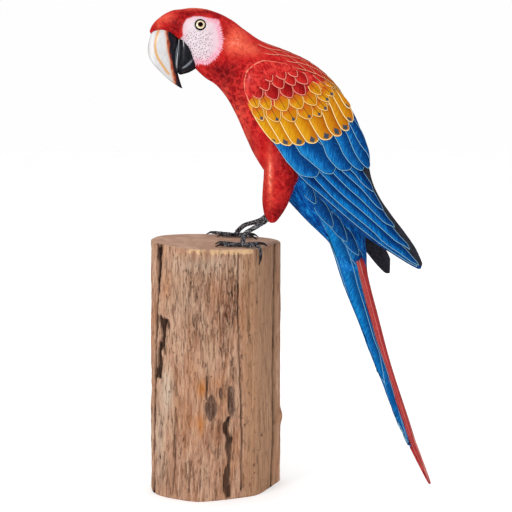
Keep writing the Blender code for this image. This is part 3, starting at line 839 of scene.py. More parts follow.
def body_finish():
    made = Finish("carved_red_paint", roughness=0.5, coat=0.03, coat_roughness=0.3, specular=0.05)
    clouds = made.noise(made.place((1, 1, 0.7)), 0.11, 4, 0.6, 0.4)
    dabs = made.streaks((0.42, 0.42, 0.24), -0.7, 4, 0.62, 0.7)
    hairs = made.streaks((1.3, 1.3, 0.2), -0.62, 3, 0.6, 0.3)
    red = made.ramp(dabs, (0.32, (156, 8, 14)), (0.46, (180, 18, 22)), (0.58, (194, 30, 30)),
                    (0.74, (212, 54, 48)))
    scale = made.scales(made.times_plus(made.specks(0.16, 3, 0.6), 11.0, made.read("row_run")),
                        made.times_plus(made.specks(0.13, 3, 0.6), 11.0, made.read("row_turn")), 7.4, 7.8)
    # light: airbrushed lighter paint and painted highlights, a pale pink painted sheen where strongest
    light = made.broken("light", dabs, 0.3, 0.62, 0.55, 1.0)
    under = made.times(made.step(scale, 0.0, 0.75, 1.0, 0.0), made.read("row_show"))
    lit = made.times(made.step(scale, 0.7, 1.0, 0.0, 0.4), made.read("row_show"))
    # dark: airbrushed darker paint together with painted shade at the back of and under the thigh
    dark = made.broken("dark", dabs, 0.32, 0.64, 1.0, 0.5)
    red = made.washed(red, (clouds, 0.46, 0.62, 0.0, 0.45, (218, 60, 52)),
                      (clouds, 0.32, 0.46, 0.45, 0.0, (152, 6, 14)), (light, (238, 110, 82)),
                      (light, 0.72, 0.98, 0.0, 0.7, (238, 168, 150)),
                      (made.times(under, made.step(dabs, 0.36, 0.62, 0.85, 0.5)), (124, 4, 14)),
                      (lit, (226, 62, 54)), (dark, (92, 3, 10)),
                      (hairs, 0.36, 0.5, 0.22, 0.0, (120, 4, 12)))
    washes = made.streaks((0.3, 0.3, 0.055), -0.5, 4, 0.6, 0.4)
    blue = made.ramp(made.plus(made.times(washes, 0.6), made.times(hairs, 0.4)),
                     (0.39, (0, 20, 72)), (0.47, (0, 66, 140)), (0.55, (0, 96, 172)),
                     (0.65, (42, 154, 212)))
    mantle = made.ramp(made.read("mantle"), (0.0, (200, 36, 34)), (0.3, ORANGE), (0.48, YELLOW),
                       (0.6, YELLOW), (0.72, (20, 90, 130)), (0.85, (0, 84, 156)))
    mantle = made.washed(mantle, (hairs, 0.36, 0.54, 0.6, 0.0,
                                  made.mix(1.0, mantle, (0.5, 0.3, 0.3, 1), "MULTIPLY")))
    blue = made.mix(made.read("over_back"), blue, mantle)
    frayed = made.plus(made.read("rump"), made.step(dabs, 0.3, 0.7, -1.0, 1.0, soft=False))
    fringe = made.noise(made.join(made.times(made.read("fan"), 1.2), made.times(made.read("face"), 0.12)),
                        1.0, 4, 0.65)
    ragged = made.times_plus(made.step(fringe, 0.3, 0.7, -1.0, 1.0, soft=False), made.read("fray"),
                             made.read("face"))
    spot = made.split(made.place())
    dashes = made.cells(made.join(made.times_plus(spot["Z"], 0.42, made.times(spot["X"], 0.91)),
                                  made.times_plus(spot["Z"], -0.6, made.times(spot["X"], 0.28))),
                        0.54, 0.8, flat=True)
    skin = made.ramp(made.specks(0.25, 3), (0.3, (220, 208, 213)), (0.7, (206, 192, 199)))
    skin = made.washed(
        skin, (made.broken("blush", fringe, 0.4, 0.6, 1.0, 0.5), (226, 142, 166)),
        (made.times(made.step(dashes, 0.15, 0.29, 0.8, 0.0), made.read("ticks")), (84, 70, 80)))
    red = made.washed(red, (frayed, -0.6, 0.6, blue), (ragged, -0.8, 0.9, 0.0, 0.97, skin))
    return made.done(red, made.step(clouds, 0.3, 0.7, 0.4, 0.54),
                     (dabs, 0.1), (hairs, 0.06), (made.specks(2.5, 2), 0.02))


def feather_rows(co):
    """How far along the bird and round it each place of its skin is, and how plain its scales are."""
    rows = smooth_between(BODY_STATIONS, 4)
    heart = np.array([((r[0] + r[2]) / 2, (r[1] + r[3]) / 2) for r in rows])
    up = np.array([(r[0] - r[2], r[1] - r[3]) for r in rows])
    up /= np.linalg.norm(up, axis=1)[:, None]
    ahead = np.gradient(heart, axis=0)
    runs = np.concatenate([[0], np.cumsum(np.linalg.norm(np.diff(heart, axis=0), axis=1))])
    ahead /= np.linalg.norm(ahead, axis=1)[:, None]
    flat, y = co[:, [0, 2]], np.abs(co[:, 1])
    near = ((flat[:, None] - heart[None]) ** 2).sum(2).argmin(1)
    off = flat - heart[near]
    run = runs[near] + (off * ahead[near]).sum(1)
    turn = np.arctan2((off * up[near]).sum(1), y + 5) * 26
    leg = np.array(THIGH_STATIONS)[::-1]
    middle, half = np.interp(co[:, 2], leg[:, 2], leg[:, 0]), np.interp(co[:, 2], leg[:, 2], leg[:, 3])
    out = np.hypot((co[:, 0] - middle) / half, (y - 18) / 12)
    on_leg = (co[:, 2] < 338) & (out < 1.25)
    run = np.where(on_leg, 400 - co[:, 2], run)
    turn = np.where(on_leg, np.arctan2(co[:, 0] - middle, np.maximum(y - 14, 0.5)) * 15, turn)
    edge = np.where(co[:, 2] < 352, soft_step(np.abs(out - 1.25), 0.0, 0.12), 1)
    plain = (0.85 * soft_step(co[:, 0], -16, -4) * soft_step(-co[:, 2], -438, -424)
             * soft_step(co[:, 2], 352, 376))
    plain = np.maximum(plain, 0.34 * on_leg * soft_step(-co[:, 2], -338, -326))
    return run, turn, np.maximum(plain, 0.14) * edge


def pile(x, z, spots):
    """Soft-edged spots added up, no more than 1."""
    total = np.zeros(len(x))
    for cx, cz, rx, rz, strength in spots:
        total += strength * np.exp(-((x - cx) / rx) ** 2 - ((z - cz) / rz) ** 2)
    return np.clip(total, 0, 1)


def make_body():
    bm = remeshed("skin", [body_rings(), thigh_rings(-1), thigh_rings(1)], voxel=1.0, smoothing=18)
    bm.normal_update()
    co = np.array([vert.co for vert in bm.verts])
    x, z = co[:, 0], co[:, 2]
    face = distance_in_outline(x, z, FACE_PATCH)
    sink = (COAT * soft_step(distance_in_outline(x, z, FEATHERED), -1, 5)
            + 0.55 * soft_step(face, -0.6, 1.0) + 1.5 * soft_step(-z, -247, -238))
    eye = np.hypot(x - EYE_PLACE[0], z - EYE_PLACE[1])
    sink -= 0.5 * np.exp(-((eye - 6.6) / 1.2) ** 2)
    sink += 0.1 * noise_at(co, 0.12, 0.09, 0, 1.0, 2.0, 3) * (face < 0)
    for vert, depth in zip(bm.verts, sink):
        vert.co -= vert.normal * float(depth)
    piece = new_piece("body_skin", bm, body_finish())
    mesh = piece.data
    # dark and light: airbrushed paint together with painted shade and painted highlights
    note(mesh, face=np.where(x > -40, face, -9), dark=pile(x, z, SHADOWS), light=pile(x, z, LIGHTS))
    y = co[:, 1]
    back = BackChart(None, 1)
    along = np.linspace(0, back.runs[-1], 120)
    tops = np.array([(back.section(p)[0], back.section(p)[1]) for p in along])
    near = ((co[:, None, [0, 2]] - tops[None]) ** 2).sum(2).argmin(1)
    note(mesh, mantle=back_hue(np.stack([along[near], y], 1)),
         over_back=soft_step(x, 84, 98) * soft_step(z, 318, 330),
         rump=distance_to_line(x, z, RUMP_LINE[::-1]) + 9 * soft_step(-np.abs(y), -13, -6)
         * soft_step(-z, -306, -296))
    note(mesh, **dict(zip(("row_run", "row_turn", "row_show"), feather_rows(co))))
    note(mesh, fray=0.25 + 2.3 * np.clip(soft_step(x, -14, 3) * soft_step(-z, -476, -466)
                                         + soft_step(-z, -442, -433), 0, 1))
    rear = soft_step(x, -16, 4) + soft_step(-z, -444, -431)
    note(mesh, blush=np.clip(soft_step(-face, -7, 0.5) * (0.4 + 0.7 * rear) + 0.3 * rear, 0, 0.95))
    note(mesh, fan=np.arctan2(z - 452, x + 12) * 18)
    note(mesh, ticks=soft_step(face, 1.2, 3.5) * soft_step(-x, 0, 7) * soft_step(-z, -463, -458))
    settle(piece, "body_paint", "head", "neck", "trunk", "rump", "thigh_left", "thigh_right")


# ---------------------------------------------------------------- the bill and eyes

BILL_BORDER = [(-46.8, 462), (-46.4, 455.7), (-45.7, 448.8), (-45, 441.9), (-43.7, 436.3), (-42.4, 428.1),
               (-41.1, 421), (-39.4, 414), (-38.4, 405)]
CHIN_STREAK = [(-33.6, 424.6), (-30.4, 426.2), (-27.3, 428.4), (-24.6, 431), (-22.2, 434)]
BILL_STRIPE = [(-55.7, 461), (-58.1, 452.9), (-59.2, 446.2), (-58.3, 439.5), (-55.9, 433.7),
               (-51.6, 427), (-46.8, 420.2), (-43, 415.4), (-39.1, 411.5), (-36.5, 405)]
BILL_EDGE = [(-34.9, 456), (-36.4, 447.4), (-37.9, 442.5), (-38.6, 435.7), (-39, 428.9), (-38, 424.1),
             (-36.1, 419.3)]


def horn_finish():
    made = Finish("bill_horn_paint", roughness=0.3, coat=0.25, coat_roughness=0.2, specular=0.2)
    streaks = made.streaks((0.6, 0.6, 0.14), 0, 4, 0.6, 0.3)
    horn = made.ramp(streaks, (0.3, (190, 188, 187)), (0.6, (204, 203, 204)))
    char = made.ramp(streaks, (0.3, (16, 16, 22)), (0.7, (40, 40, 50)))
    border = made.plus(made.read("border"), made.step(streaks, 0.32, 0.68, -0.9, 0.9, soft=False))
    stripe = made.times(made.step(made.size(made.read("stripe")), 0.3, 2.1, 0.9, 0.0),
                        made.step(streaks, 0.3, 0.5, 0.75, 1.0))
    # Painted light makes the front of the bill paler; the shade share is painted shade.
    horn = made.washed(horn, (made.split(made.place())["X"], -65, -57, 0.8, 0.0, (232, 233, 236)),
                       (made.read("shade"), (158, 136, 122)),
                       (border, -3.8, -1.4, 0.0, 0.85, (212, 138, 88)),
                       (border, -2.4, -0.4, 0.0, 0.95, (150, 52, 30)), (border, -0.8, 1.0, char),
                       (stripe, (206, 148, 72)),
                       (made.size(made.read("cutting")), 0.35, 1.25, 0.85, 0.0, (168, 176, 188)))
    return made.done(horn, None, (streaks, 0.05))


def charcoal_finish():
    made = Finish("bill_charcoal_paint", roughness=0.3, coat=0.5, coat_roughness=0.12, specular=0.3)
    streaks = made.streaks((0.7, 0.7, 0.25), 0, 4, 0.6, 0.2)
    char = made.ramp(streaks, (0.3, (16, 16, 20)), (0.7, (36, 37, 44)))
    # glow: painted highlight lines on the black paint
    char = made.mix(made.read("glow"), char, (150, 154, 164))
    return made.done(char, None, (streaks, 0.12))


def make_bill():
    form = closed_form(profile_rings(UPPER_BILL, 10, 72, 2.3))
    upper = new_piece("bill_upper_horn", form, horn_finish())
    x, _, z = places(upper.data)
    note(upper.data, border=distance_to_line(x, z, BILL_BORDER[::-1]),
         stripe=np.abs(distance_to_line(x, z, BILL_STRIPE)) + 3 * soft_step(-z, -421, -413),
         cutting=distance_to_line(x, z, BILL_EDGE),
         # shade: painted shade, greyer-brown towards the tip and along the front edge
         shade=np.clip(soft_step(-z, -416, -408) + 0.5 * soft_step(-x, 61, 66), 0, 1) * 0.8)
    settle(upper, "bill_horn", "bill_upper")
    form = closed_form(profile_rings(LOWER_BILL, 10, 64, 2.5))
    lower = new_piece("bill_lower_horn", form, charcoal_finish())
    x, _, z = places(lower.data)
    # The lower mandible's glow is painted highlight: a streak along the chin and a line down its front.
    streak = np.exp(-(distance_to_line(x, z, CHIN_STREAK) / 0.75) ** 2)
    note(lower.data, glow=0.75 * streak * soft_step(x, -34, -31) * soft_step(-x, 22, 25)
         + 0.5 * np.exp(-((x + 36.4) / 0.8) ** 2 - ((z - 443) / 6) ** 2))
    settle(lower, "bill_charcoal", "bill_lower")


def eye_finish():
    made = Finish("eye_enamel_paint", roughness=0.12, coat=1.0, coat_roughness=0.03)
    ring = made.read("ring")
    speck = made.specks(1.2, 3)
    iris = made.ramp(speck, (0.3, (234, 216, 170)), (0.7, (248, 238, 210)))
    rough_ring = made.plus(ring, made.step(speck, 0.3, 0.7, -0.15, 0.15, soft=False))
    iris = made.washed(iris, (rough_ring, 2.5, 3.1, 0.9, 0.0, (120, 78, 52)),
                       (rough_ring, 1.9, 2.4, 1.0, 0.0, (10, 9, 10)),
                       (rough_ring, 3.9, 4.2, (16, 13, 14)))
    return made.done(iris, None, (speck, 0.03))


EYE_PROFILE = [(0, -2.6), (4.6, -2.4), (5.7, -0.8), (5.85, 0.5), (5.6, 1.25), (5.05, 1.6), (4.55, 1.45),
               (4.3, 1.2), (4.1, 1.3), (3.3, 1.85), (2.2, 2.3), (1.1, 2.52), (0, 2.6)]


def make_eyes(ground):
    finish = eye_finish()
    for name, side in SIDES:
        low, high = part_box("eye_" + name)
        centre = Vector([(a + b) / 2 / MM for a, b in zip(low, high)])
        start = Vector((EYE_PLACE[0], side * OUTSIDE, EYE_PLACE[1]))
        _, outward, _, _ = ground.tree.ray_cast(start, Vector((0, -side, 0)))
        bm = bmesh.new()
        line = [bm.verts.new((r, 0, h)) for r, h in EYE_PROFILE]
        edges = [bm.edges.new(pair) for pair in zip(line, line[1:])]
        bmesh.ops.spin(bm, geom=line + edges, cent=(0, 0, 0), axis=(0, 0, 1), angle=2 * math.pi,
                       steps=48, use_merge=True, use_duplicate=False)
        bmesh.ops.remove_doubles(bm, verts=bm.verts, dist=1e-4)
        bmesh.ops.recalc_face_normals(bm, faces=bm.faces)
        rings = [math.hypot(v.co.x, v.co.y) if v.co.z > 0 else 9 for v in bm.verts]
        turn = outward.to_track_quat("Z", "Y").to_matrix().to_4x4()
        bmesh.ops.transform(bm, matrix=Matrix.Translation(centre) @ turn, verts=bm.verts)
        piece = new_piece("eye_" + name + "_enamel", bm, finish)
        note(piece.data, ring=rings)
        settle(piece, "eye_enamel", "eye_" + name)


# ---------------------------------------------------------------- feather paints

def feather_finish(name, base, rim, outline, dusk, glow, shaft=None, spot=None, root=None, depth=0.5,
                   shadow=0.7, lean=(-4.0, 4.5), line=0.7, gloss=0.38):
    """Painted feathers: painted shadow line as outline, fine pale rim, slanting barbs from dusk to glow,
    shaft or spot.
    """
    made = Finish(name, roughness=gloss, coat=0.06, coat_roughness=0.2, specular=0.04)
    edge, side, reach = made.read("edge"), made.read("side"), made.read("reach")
    shift = made.times(made.read("tone"), 37.0)
    slant = made.times_plus(made.size(made.less(side, 2.0)), -1.0, reach)
    barbs = made.noise(made.join(made.times(slant, 1.15), made.times(side, 0.16), shift), 1.0, 4, 0.65)
    blotch = made.noise(made.join(made.times(slant, 0.2), made.times(side, 0.16), shift), 1.0, 3, 0.55)
    ragged = made.plus(edge, made.step(barbs, 0.3, 0.7, -0.14, 0.14, soft=False))
    paint = made.ramp(made.read("hue"), *base)
    # deep and pale are shaded and lit copies of the paint, for the barbs and for painted shade and light.
    deep = made.mix(1.0, paint, dusk, "MULTIPLY")
    pale = made.mix(0.65, paint, glow)
    strands = made.times(made.step(barbs, 0.52, 0.64, 0.0, min(depth * 1.2, 0.9)),
                         made.step(side, *lean, 1.0, 0.2))
    # Painted shade towards the side the next feather covers, painted light along the open lower edge.
    paint = made.washed(paint, (blotch, 0.4, 0.62, 0.45 * depth + 0.1, 0.0, deep),
                        (side, *lean, 0.0, shadow, deep), (side, -7.5, -2.5, 0.5, 0.0, pale),
                        (barbs, 0.38, 0.52, depth, 0.0, deep), (strands, pale))
    if root:
        paint = made.washed(paint, (reach, 2.0, 8.5, 0.9, 0.0, root))
    if shaft:
        quill = made.step(made.size(side), 0.18, 0.5, 0.8, 0.0)
        paint = made.washed(paint, (made.times(quill, made.step(edge, 1.4, 2.8)), shaft))
    if spot:
        over = made.size(made.over(made.read("spot_over"), 1.7))
        along = made.size(made.over(made.read("spot_along"), 2.4))
        dot = made.times_plus(blotch, 0.9, made.plus(over, along))
        paint = made.washed(paint, (dot, 1.15, 1.6, 0.95, 0.0, spot))
    if isinstance(rim, list):
        rim = made.ramp(made.read("hue"), *rim)
    # The outline at the very edge and on the wall is a painted shadow line, as cast on the feather
    # beneath.
    paint = made.washed(paint, (ragged, line, line + 1.4, 0.5, 0.0, deep),
                        (made.times(made.band(ragged, 0.2, line, 0.16), 0.85), rim),
                        (edge, 0.06, 0.22, 0.9, 0.0, outline))
    return made.done(paint, made.step(blotch, 0.3, 0.7, gloss - 0.06, gloss + 0.08),
                     (barbs, 0.12), (made.step(edge, 0.0, 0.8), 0.2))


# Shaded and lit copies of each paint, for the barbs, for painted shade and for painted light.
RED_DUSK, GOLD_DUSK, BLUE_DUSK = (0.34, 0.12, 0.2, 1), (0.72, 0.42, 0.3, 1), (0.3, 0.28, 0.36, 1)
RED_GLOW, GOLD_GLOW, BLUE_GLOW = (240, 104, 84), (236, 190, 56), (44, 160, 218)
RED = (206, 40, 38)
YELLOW, ORANGE = (204, 148, 12), (188, 100, 8)
BLUE, NAVY, SKY = (0, 84, 160), (0, 34, 90), (4, 128, 202)


# ---------------------------------------------------------------- the wings

# Small wing feathers, row by row: tip x z, half width, length, degrees below the horizontal, hue.
SHOULDER_LINE = [(26, 392), (33, 399), (38, 405), (44, 413), (52, 420), (66, 424), (80, 425), (96, 426)]
RED_ROWS = [
    (53.2, 411.7, 5.5, 12, 58, 0.0), (66.3, 413.6, 5.5, 12, 55, 0.0), (78, 416, 5, 12, 50, 0.0),
    (49.3, 403.1, 6.5, 14, 62, 0.35), (63.7, 405, 6.5, 14, 58, 0.35), (75.5, 407.9, 6, 14, 54, 0.35),
    (87.8, 409.3, 6, 14, 46, 0.35),
    (43, 395.8, 6.4, 12, 60, 0.75), (57.9, 394.5, 7.5, 15, 60, 0.8), (72.4, 396.4, 7, 15, 56, 0.8),
    (85.1, 398.8, 6.5, 15, 52, 0.8),
]
GOLD_ROWS = [
    (39.7, 386.8, 5.5, 13, 64, 0.0), (51.2, 385, 6, 14, 62, 0.0), (67, 384, 8, 15, 60, 0.05),
    (82, 385.9, 7.5, 15, 56, 0.1), (95.9, 389.2, 7, 15, 50, 0.2), (101, 399, 5.4, 15, 46, 0.1),
    (45, 374.4, 6, 16, 60, 0.1), (59.8, 373.4, 7.5, 16, 60, 0.15), (75.2, 373.4, 8, 16, 60, 0.2),
    (90.8, 376, 8, 16, 56, 0.3), (100.7, 378.1, 6, 15, 52, 0.15), (106.8, 383.8, 5.5, 15, 50, 0.1),
    (108.9, 392.4, 5.5, 15, 46, 0.0), (114, 397.6, 5, 14, 42, 0.05), (117, 405.9, 5, 14, 40, 0.1),
]
# Long feathers by their lower edge and width; those nearer the back lie over those in front.
GREATER_COVERTS = [
    ([(33, 386), (36, 378), (46, 363), (55, 352), (58.5, 351)], 12, 0.0),
    ([(44, 382), (49.7, 372.2), (58, 358.4), (61.6, 352), (68, 348.4)], 13.5, 0.05),
    ([(56, 382), (61.1, 372.2), (68, 359.3), (72.6, 352), (79.1, 348.5)], 16, 0.1),
    ([(69, 382), (74.8, 372), (81.7, 360.2), (86.3, 352.9), (91.8, 350.3)], 17, 0.2),
    ([(83, 385), (89, 373.8), (95.5, 362), (100.1, 355.6), (105.8, 353.8)], 16.5, 0.35),
    ([(96, 391), (101.9, 380.2), (106.5, 367.4), (112, 359.2), (116.3, 357.4)], 13.5, 0.4),
    ([(103, 400), (109.3, 389.4), (114.8, 375.6), (120.3, 364.7), (124.5, 362.5)], 13, 0.35),
    ([(108, 405), (114.8, 393), (122.2, 379.3), (126.9, 372), (128.9, 370.8)], 12, 0.3),
    ([(112, 410), (118.5, 398.4), (123.2, 389.5), (127, 384)], 9, 0.3),
]
GREATER_SPOTS = [(54.6, 354.4), (66, 353.6), (79, 354), (92, 356), (105.4, 359.8), (116, 364),
                 (124.4, 367.6), (128.6, 374.6), (126.4, 387)]
SECONDARIES = [
    ([(48, 363), (58, 349), (66, 337), (76, 325.5), (82, 321), (88, 319.3), (94.5, 318.2)], 20, 0.45),
    ([(64, 366), (77.2, 348.1), (79.6, 343.6), (89.7, 334.9), (99.8, 325.8), (103.2, 322.9),
      (110, 320.8)], 21, 0.4),
    ([(88, 371), (101.9, 351.2), (103.1, 346.8), (107.6, 337.9), (116.8, 327.2), (121.3, 325.2),
      (127.2, 324.7)], 18, 0.45),
    ([(104, 374), (116.9, 353.3), (121.4, 343.2), (128.4, 333), (135.4, 326.2), (140.1, 323.8)], 15, 0.4),
    ([(116, 378), (126.2, 360.8), (133.2, 344), (140.2, 332.7), (146.5, 325.8)], 13, 0.45),
    ([(124, 381), (134.6, 359.5), (140.4, 349.4), (146.4, 341.5), (148.6, 334)], 9, 0.55),
]
PRIMARIES = [
    ([(66, 336), (79.5, 321.6), (88.2, 313), (101.3, 302.2), (116.7, 288.6), (134.2, 273.6),
      (154.1, 257.7), (169.4, 246.7), (186, 236), (197, 229.8)], 11, 0.6),
    ([(82, 332), (97, 315.9), (110.8, 301), (126.3, 287.3), (143.2, 273.5), (154.4, 263.8),
      (162.8, 254.9), (169.8, 250), (180, 243.2), (190, 235.6), (198.4, 231.2)], 13, 0.4),
    ([(94, 330), (108.8, 315.2), (122.7, 301.5), (137.1, 289.5), (151.9, 276.3), (168.2, 261.7),
      (175.8, 255.2), (184.5, 250.2), (189, 246.6)], 12.5, 0.4),
    ([(103, 334), (116.6, 319.2), (128.7, 307.3), (137.2, 300), (146.3, 291), (162.3, 275),
      (166.7, 272.3), (173.8, 268.6)], 12.5, 0.45),
    ([(112, 334), (127, 320.1), (134.3, 313.6), (142.3, 305.7), (154.9, 290.8), (162.6, 285.3)], 11, 0.5),
    ([(124, 332), (134.4, 321.8), (139.3, 315.1), (145.5, 309), (152.3, 303.6)], 10, 0.6),
]
YELLOW_FROM = [(26, 392), (50, 390), (70, 391), (90, 396), (100, 415), (104, 430)]
BLUE_FROM = [(28, 372), (56, 356), (90, 356), (118, 366), (128, 388), (130, 400)]
# What each place of the wing board keeps: its x, z and t in the side view, and 1 on the inner face.
PLATE_LAYERS = ("fx", "fz", "ft", "fi")
RIM_TOP = [(28.4, 421), (31.3, 424.1), (38.1, 429.4), (45.5, 432.4), (56, 431.6), (66.5, 428.9),
           (78, 423)]
RIM_BEND = [(31.3, 424.1), (28.4, 419.3), (26.5, 411.7), (27.4, 402.1), (32.1, 390.6)]


def wing_finish():
    made = Finish("wing_body_paint", roughness=0.45, coat=0.12, coat_roughness=0.2, specular=0.1)
    strokes = made.streaks((0.55, 0.55, 0.2), -0.5, 4, 0.6, 0.5)
    grain = made.specks(0.16, 3)
    red = made.ramp(strokes, (0.36, (132, 6, 14)), (0.46, (172, 18, 22)), (0.56, (196, 36, 34)),
                    (0.68, (214, 62, 52)))
    dark_blue = made.ramp(strokes, (0.3, (2, 24, 70)), (0.7, (0, 72, 142)))
    gold = made.ramp(strokes, (0.3, (186, 92, 16)), (0.7, (232, 160, 40)))
    black = made.ramp(strokes, (0.3, (24, 24, 30)), (0.7, (54, 54, 64)))
    down = made.read("down")
    paint = made.washed(red, (grain, 0.46, 0.66, 0.0, 0.45, (220, 72, 60)), (down, 0.5, 1.0, gold),
                        (down, 1.2, 1.8, dark_blue), (made.read("band"), 0.0, 0.6, black),
                        (made.read("rim"), 0.25, 0.7, 0.75, 0.0, (238, 150, 120)),
                        (made.read("under"), 0.3, 0.7, black))
    return made.done(paint, made.step(grain, 0.3, 0.7, 0.38, 0.5), (strokes, 0.14), (grain, 0.1))


def plate_rings(side, sunk):
    """Closed sections of the wing board: out along its outer face and back along the inner one."""
    rings, flats = [], []
    for row in smooth_between(WING_STATIONS, 7):
        ring, flat = [], []
        for i in range(PLATE_PARTS + 1):
            t = i / PLATE_PARTS
            spot = wing_point(row, t, side, plain=True)
            depth = COAT * sunk(spot) if sunk else 0
            ring.append(wing_point(row, t, side, depth))
            flat.append((spot.x, spot.z, t, 0))
        for i in range(PLATE_PARTS, -1, -1):
            t = i / PLATE_PARTS
            rise = row[6] * math.sin(math.pi * t)
            ring.append(wing_point(row, t, side, max(row[7] + 0.6 * rise, COAT + 0.8)))
            spot = wing_point(row, t, side, plain=True)
            flat.append((spot.x, spot.z, t, 1 if 0 < i < PLATE_PARTS else 0))
        rings.append(ring)
        flats.append(flat)
    return rings, flats


def make_wing(name, side, finishes):
    def sunk(spot):
        away = distance_to_line(np.array([spot.x]), np.array([spot.z]), SHOULDER_LINE)[0]
        return float(soft_step(away, 0, 6))

    rings, flats = plate_rings(side, sunk)
    bm = bmesh.new()
    layers = [bm.verts.layers.float.new(key) for key in PLATE_LAYERS]
    wrap_rings(bm, rings)
    spots = {tuple(round(c, 3) for c in point): flat for ring, line in zip(rings, flats)
             for point, flat in zip(ring, line)}
    for vert in bm.verts:
        spot = spots.get(tuple(round(c, 3) for c in vert.co), (vert.co.x, vert.co.z, 0.5, 0))
        for layer, value in zip(layers, spot):
            vert[layer] = value
    bmesh.ops.recalc_face_normals(bm, faces=bm.faces)
    board = new_piece(name + "_board", bm, finishes["board"], sharp=50)
    mesh = board.data
    x, z, t, inner = (np.array([d.value for d in mesh.attributes[key].data]) for key in PLATE_LAYERS)
    yellow, blue, top, bend = (distance_to_line(x, z, line)
                               for line in (YELLOW_FROM, BLUE_FROM, RIM_TOP, RIM_BEND))
    note(mesh, down=soft_step(yellow, -2, 2) + soft_step(blue, -2, 2),
         band=soft_step(t, 0.35, 0.5) * soft_step(-z, -334, -322),
         rim=np.minimum(np.abs(top), np.abs(bend)) + 5 * inner
         + 9 * soft_step(-np.abs(places(mesh)[1]), -23.6, -22.8), under=inner)
    settle(board, "wing_paint", name)

    chart = WingChart(side)
    reds = Tract(chart, SEEDS["red"] + side)
    for x, z, half, length, lie, hue in reversed(RED_ROWS):
        reds.add(scale_outline((x, z), half, length, lie), low=0.0, high=1.15, tilt=0.12, hue=hue)
    reds.finish(name + "_shoulder_scales", finishes["red"], "wing_paint")
    golds = Tract(chart, SEEDS["gold"] + side)
    for (edge, width, hue), spot in zip(GREATER_COVERTS, GREATER_SPOTS):
        golds.add(blade_outline(edge, width, 6, 2.0, 0.3), low=0.0, high=0.95, tilt=0.45, hue=hue,
                  spot=spot, spot_size=1.9)
    golds.finish(name + "_greater_coverts", finishes["gold"], "wing_paint")
    golds = Tract(chart, SEEDS["golden_scale"] + side)
    for x, z, half, length, lie, hue in GOLD_ROWS:
        run = Vector((math.cos(math.radians(lie)), -math.sin(math.radians(lie))))
        spot = tuple(Vector((x, z)) - run * 3.2) if z < 380 or x > 105 else None
        golds.add(scale_outline((x, z), half, length, lie), low=0.15, high=1.35 if z < 380 else 1.25,
                  tilt=0.12, hue=hue, spot=spot)
    golds.finish(name + "_golden_scales", finishes["golden_scale"], "wing_paint")
    flights = Tract(chart, SEEDS["primary"] + side)
    for edge, width, hue in PRIMARIES:
        flights.add(blade_outline(edge, width, 3.5, 1.7, 0.05), low=0.0, high=0.7, tilt=0.4, hue=hue)
    flights.finish(name + "_primaries", finishes["long"], "wing_paint")
    flights = Tract(chart, SEEDS["secondary"] + side)
    for edge, width, hue in SECONDARIES:
        flights.add(blade_outline(edge, width, 6, 2.0, 0.15), low=0.1, high=1.2, tilt=0.45, hue=hue)
    flights.finish(name + "_secondaries", finishes["blue"], "wing_paint")


def make_wings():
    gold = ((0.0, YELLOW), (0.4, (194, 126, 8)), (1.0, ORANGE))
    finishes = {
        "board": wing_finish(),
        "red": feather_finish("shoulder_scale_paint",
                              ((0.0, RED), (0.4, (196, 30, 30)), (1.0, (158, 10, 18))), (240, 146, 128),
                              (70, 4, 10), RED_DUSK, RED_GLOW, line=0.95, depth=0.35),
        "gold": feather_finish("greater_covert_paint", gold, (250, 224, 160), (92, 60, 22), GOLD_DUSK,
                               GOLD_GLOW, spot=(38, 66, 84), depth=0.34, line=1.0, shadow=0.9),
        "golden_scale": feather_finish("golden_scale_paint", gold, (248, 212, 140), (96, 50, 14),
                                       GOLD_DUSK, GOLD_GLOW, shaft=(92, 44, 14), spot=(24, 60, 84),
                                       root=(186, 88, 18), depth=0.3, line=0.8, shadow=0.5),
        "blue": feather_finish("flight_feather_paint", ((0.0, SKY), (0.5, BLUE), (1.0, NAVY)),
                               (150, 200, 220), (0, 10, 36), BLUE_DUSK, BLUE_GLOW, depth=0.62,
                               line=0.62, shadow=0.95, lean=(-5.5, 4.0)),
        "long": feather_finish("primary_feather_paint", ((0.0, SKY), (0.5, (0, 92, 168)), (1.0, NAVY)),
                               (150, 200, 220), (0, 8, 30), (0.16, 0.18, 0.28, 1), (20, 160, 226),
                               depth=0.55, line=0.62, shadow=1.0, lean=(-3.6, 1.4)),
    }
    for name, side in SIDES:
        make_wing("wing_" + name, side, finishes)


# ---------------------------------------------------------------- the back, the rump and the tail

WINGS_APART = 24      # half the room between the wings for the feathers of the back


def back_hue(spots):
    p = spots[:, 0]
    return np.interp(p, [60, 92, 104, 118, 138, 150, 200], [0.0, 0.12, 0.3, 0.5, 0.55, 0.85, 1.0])


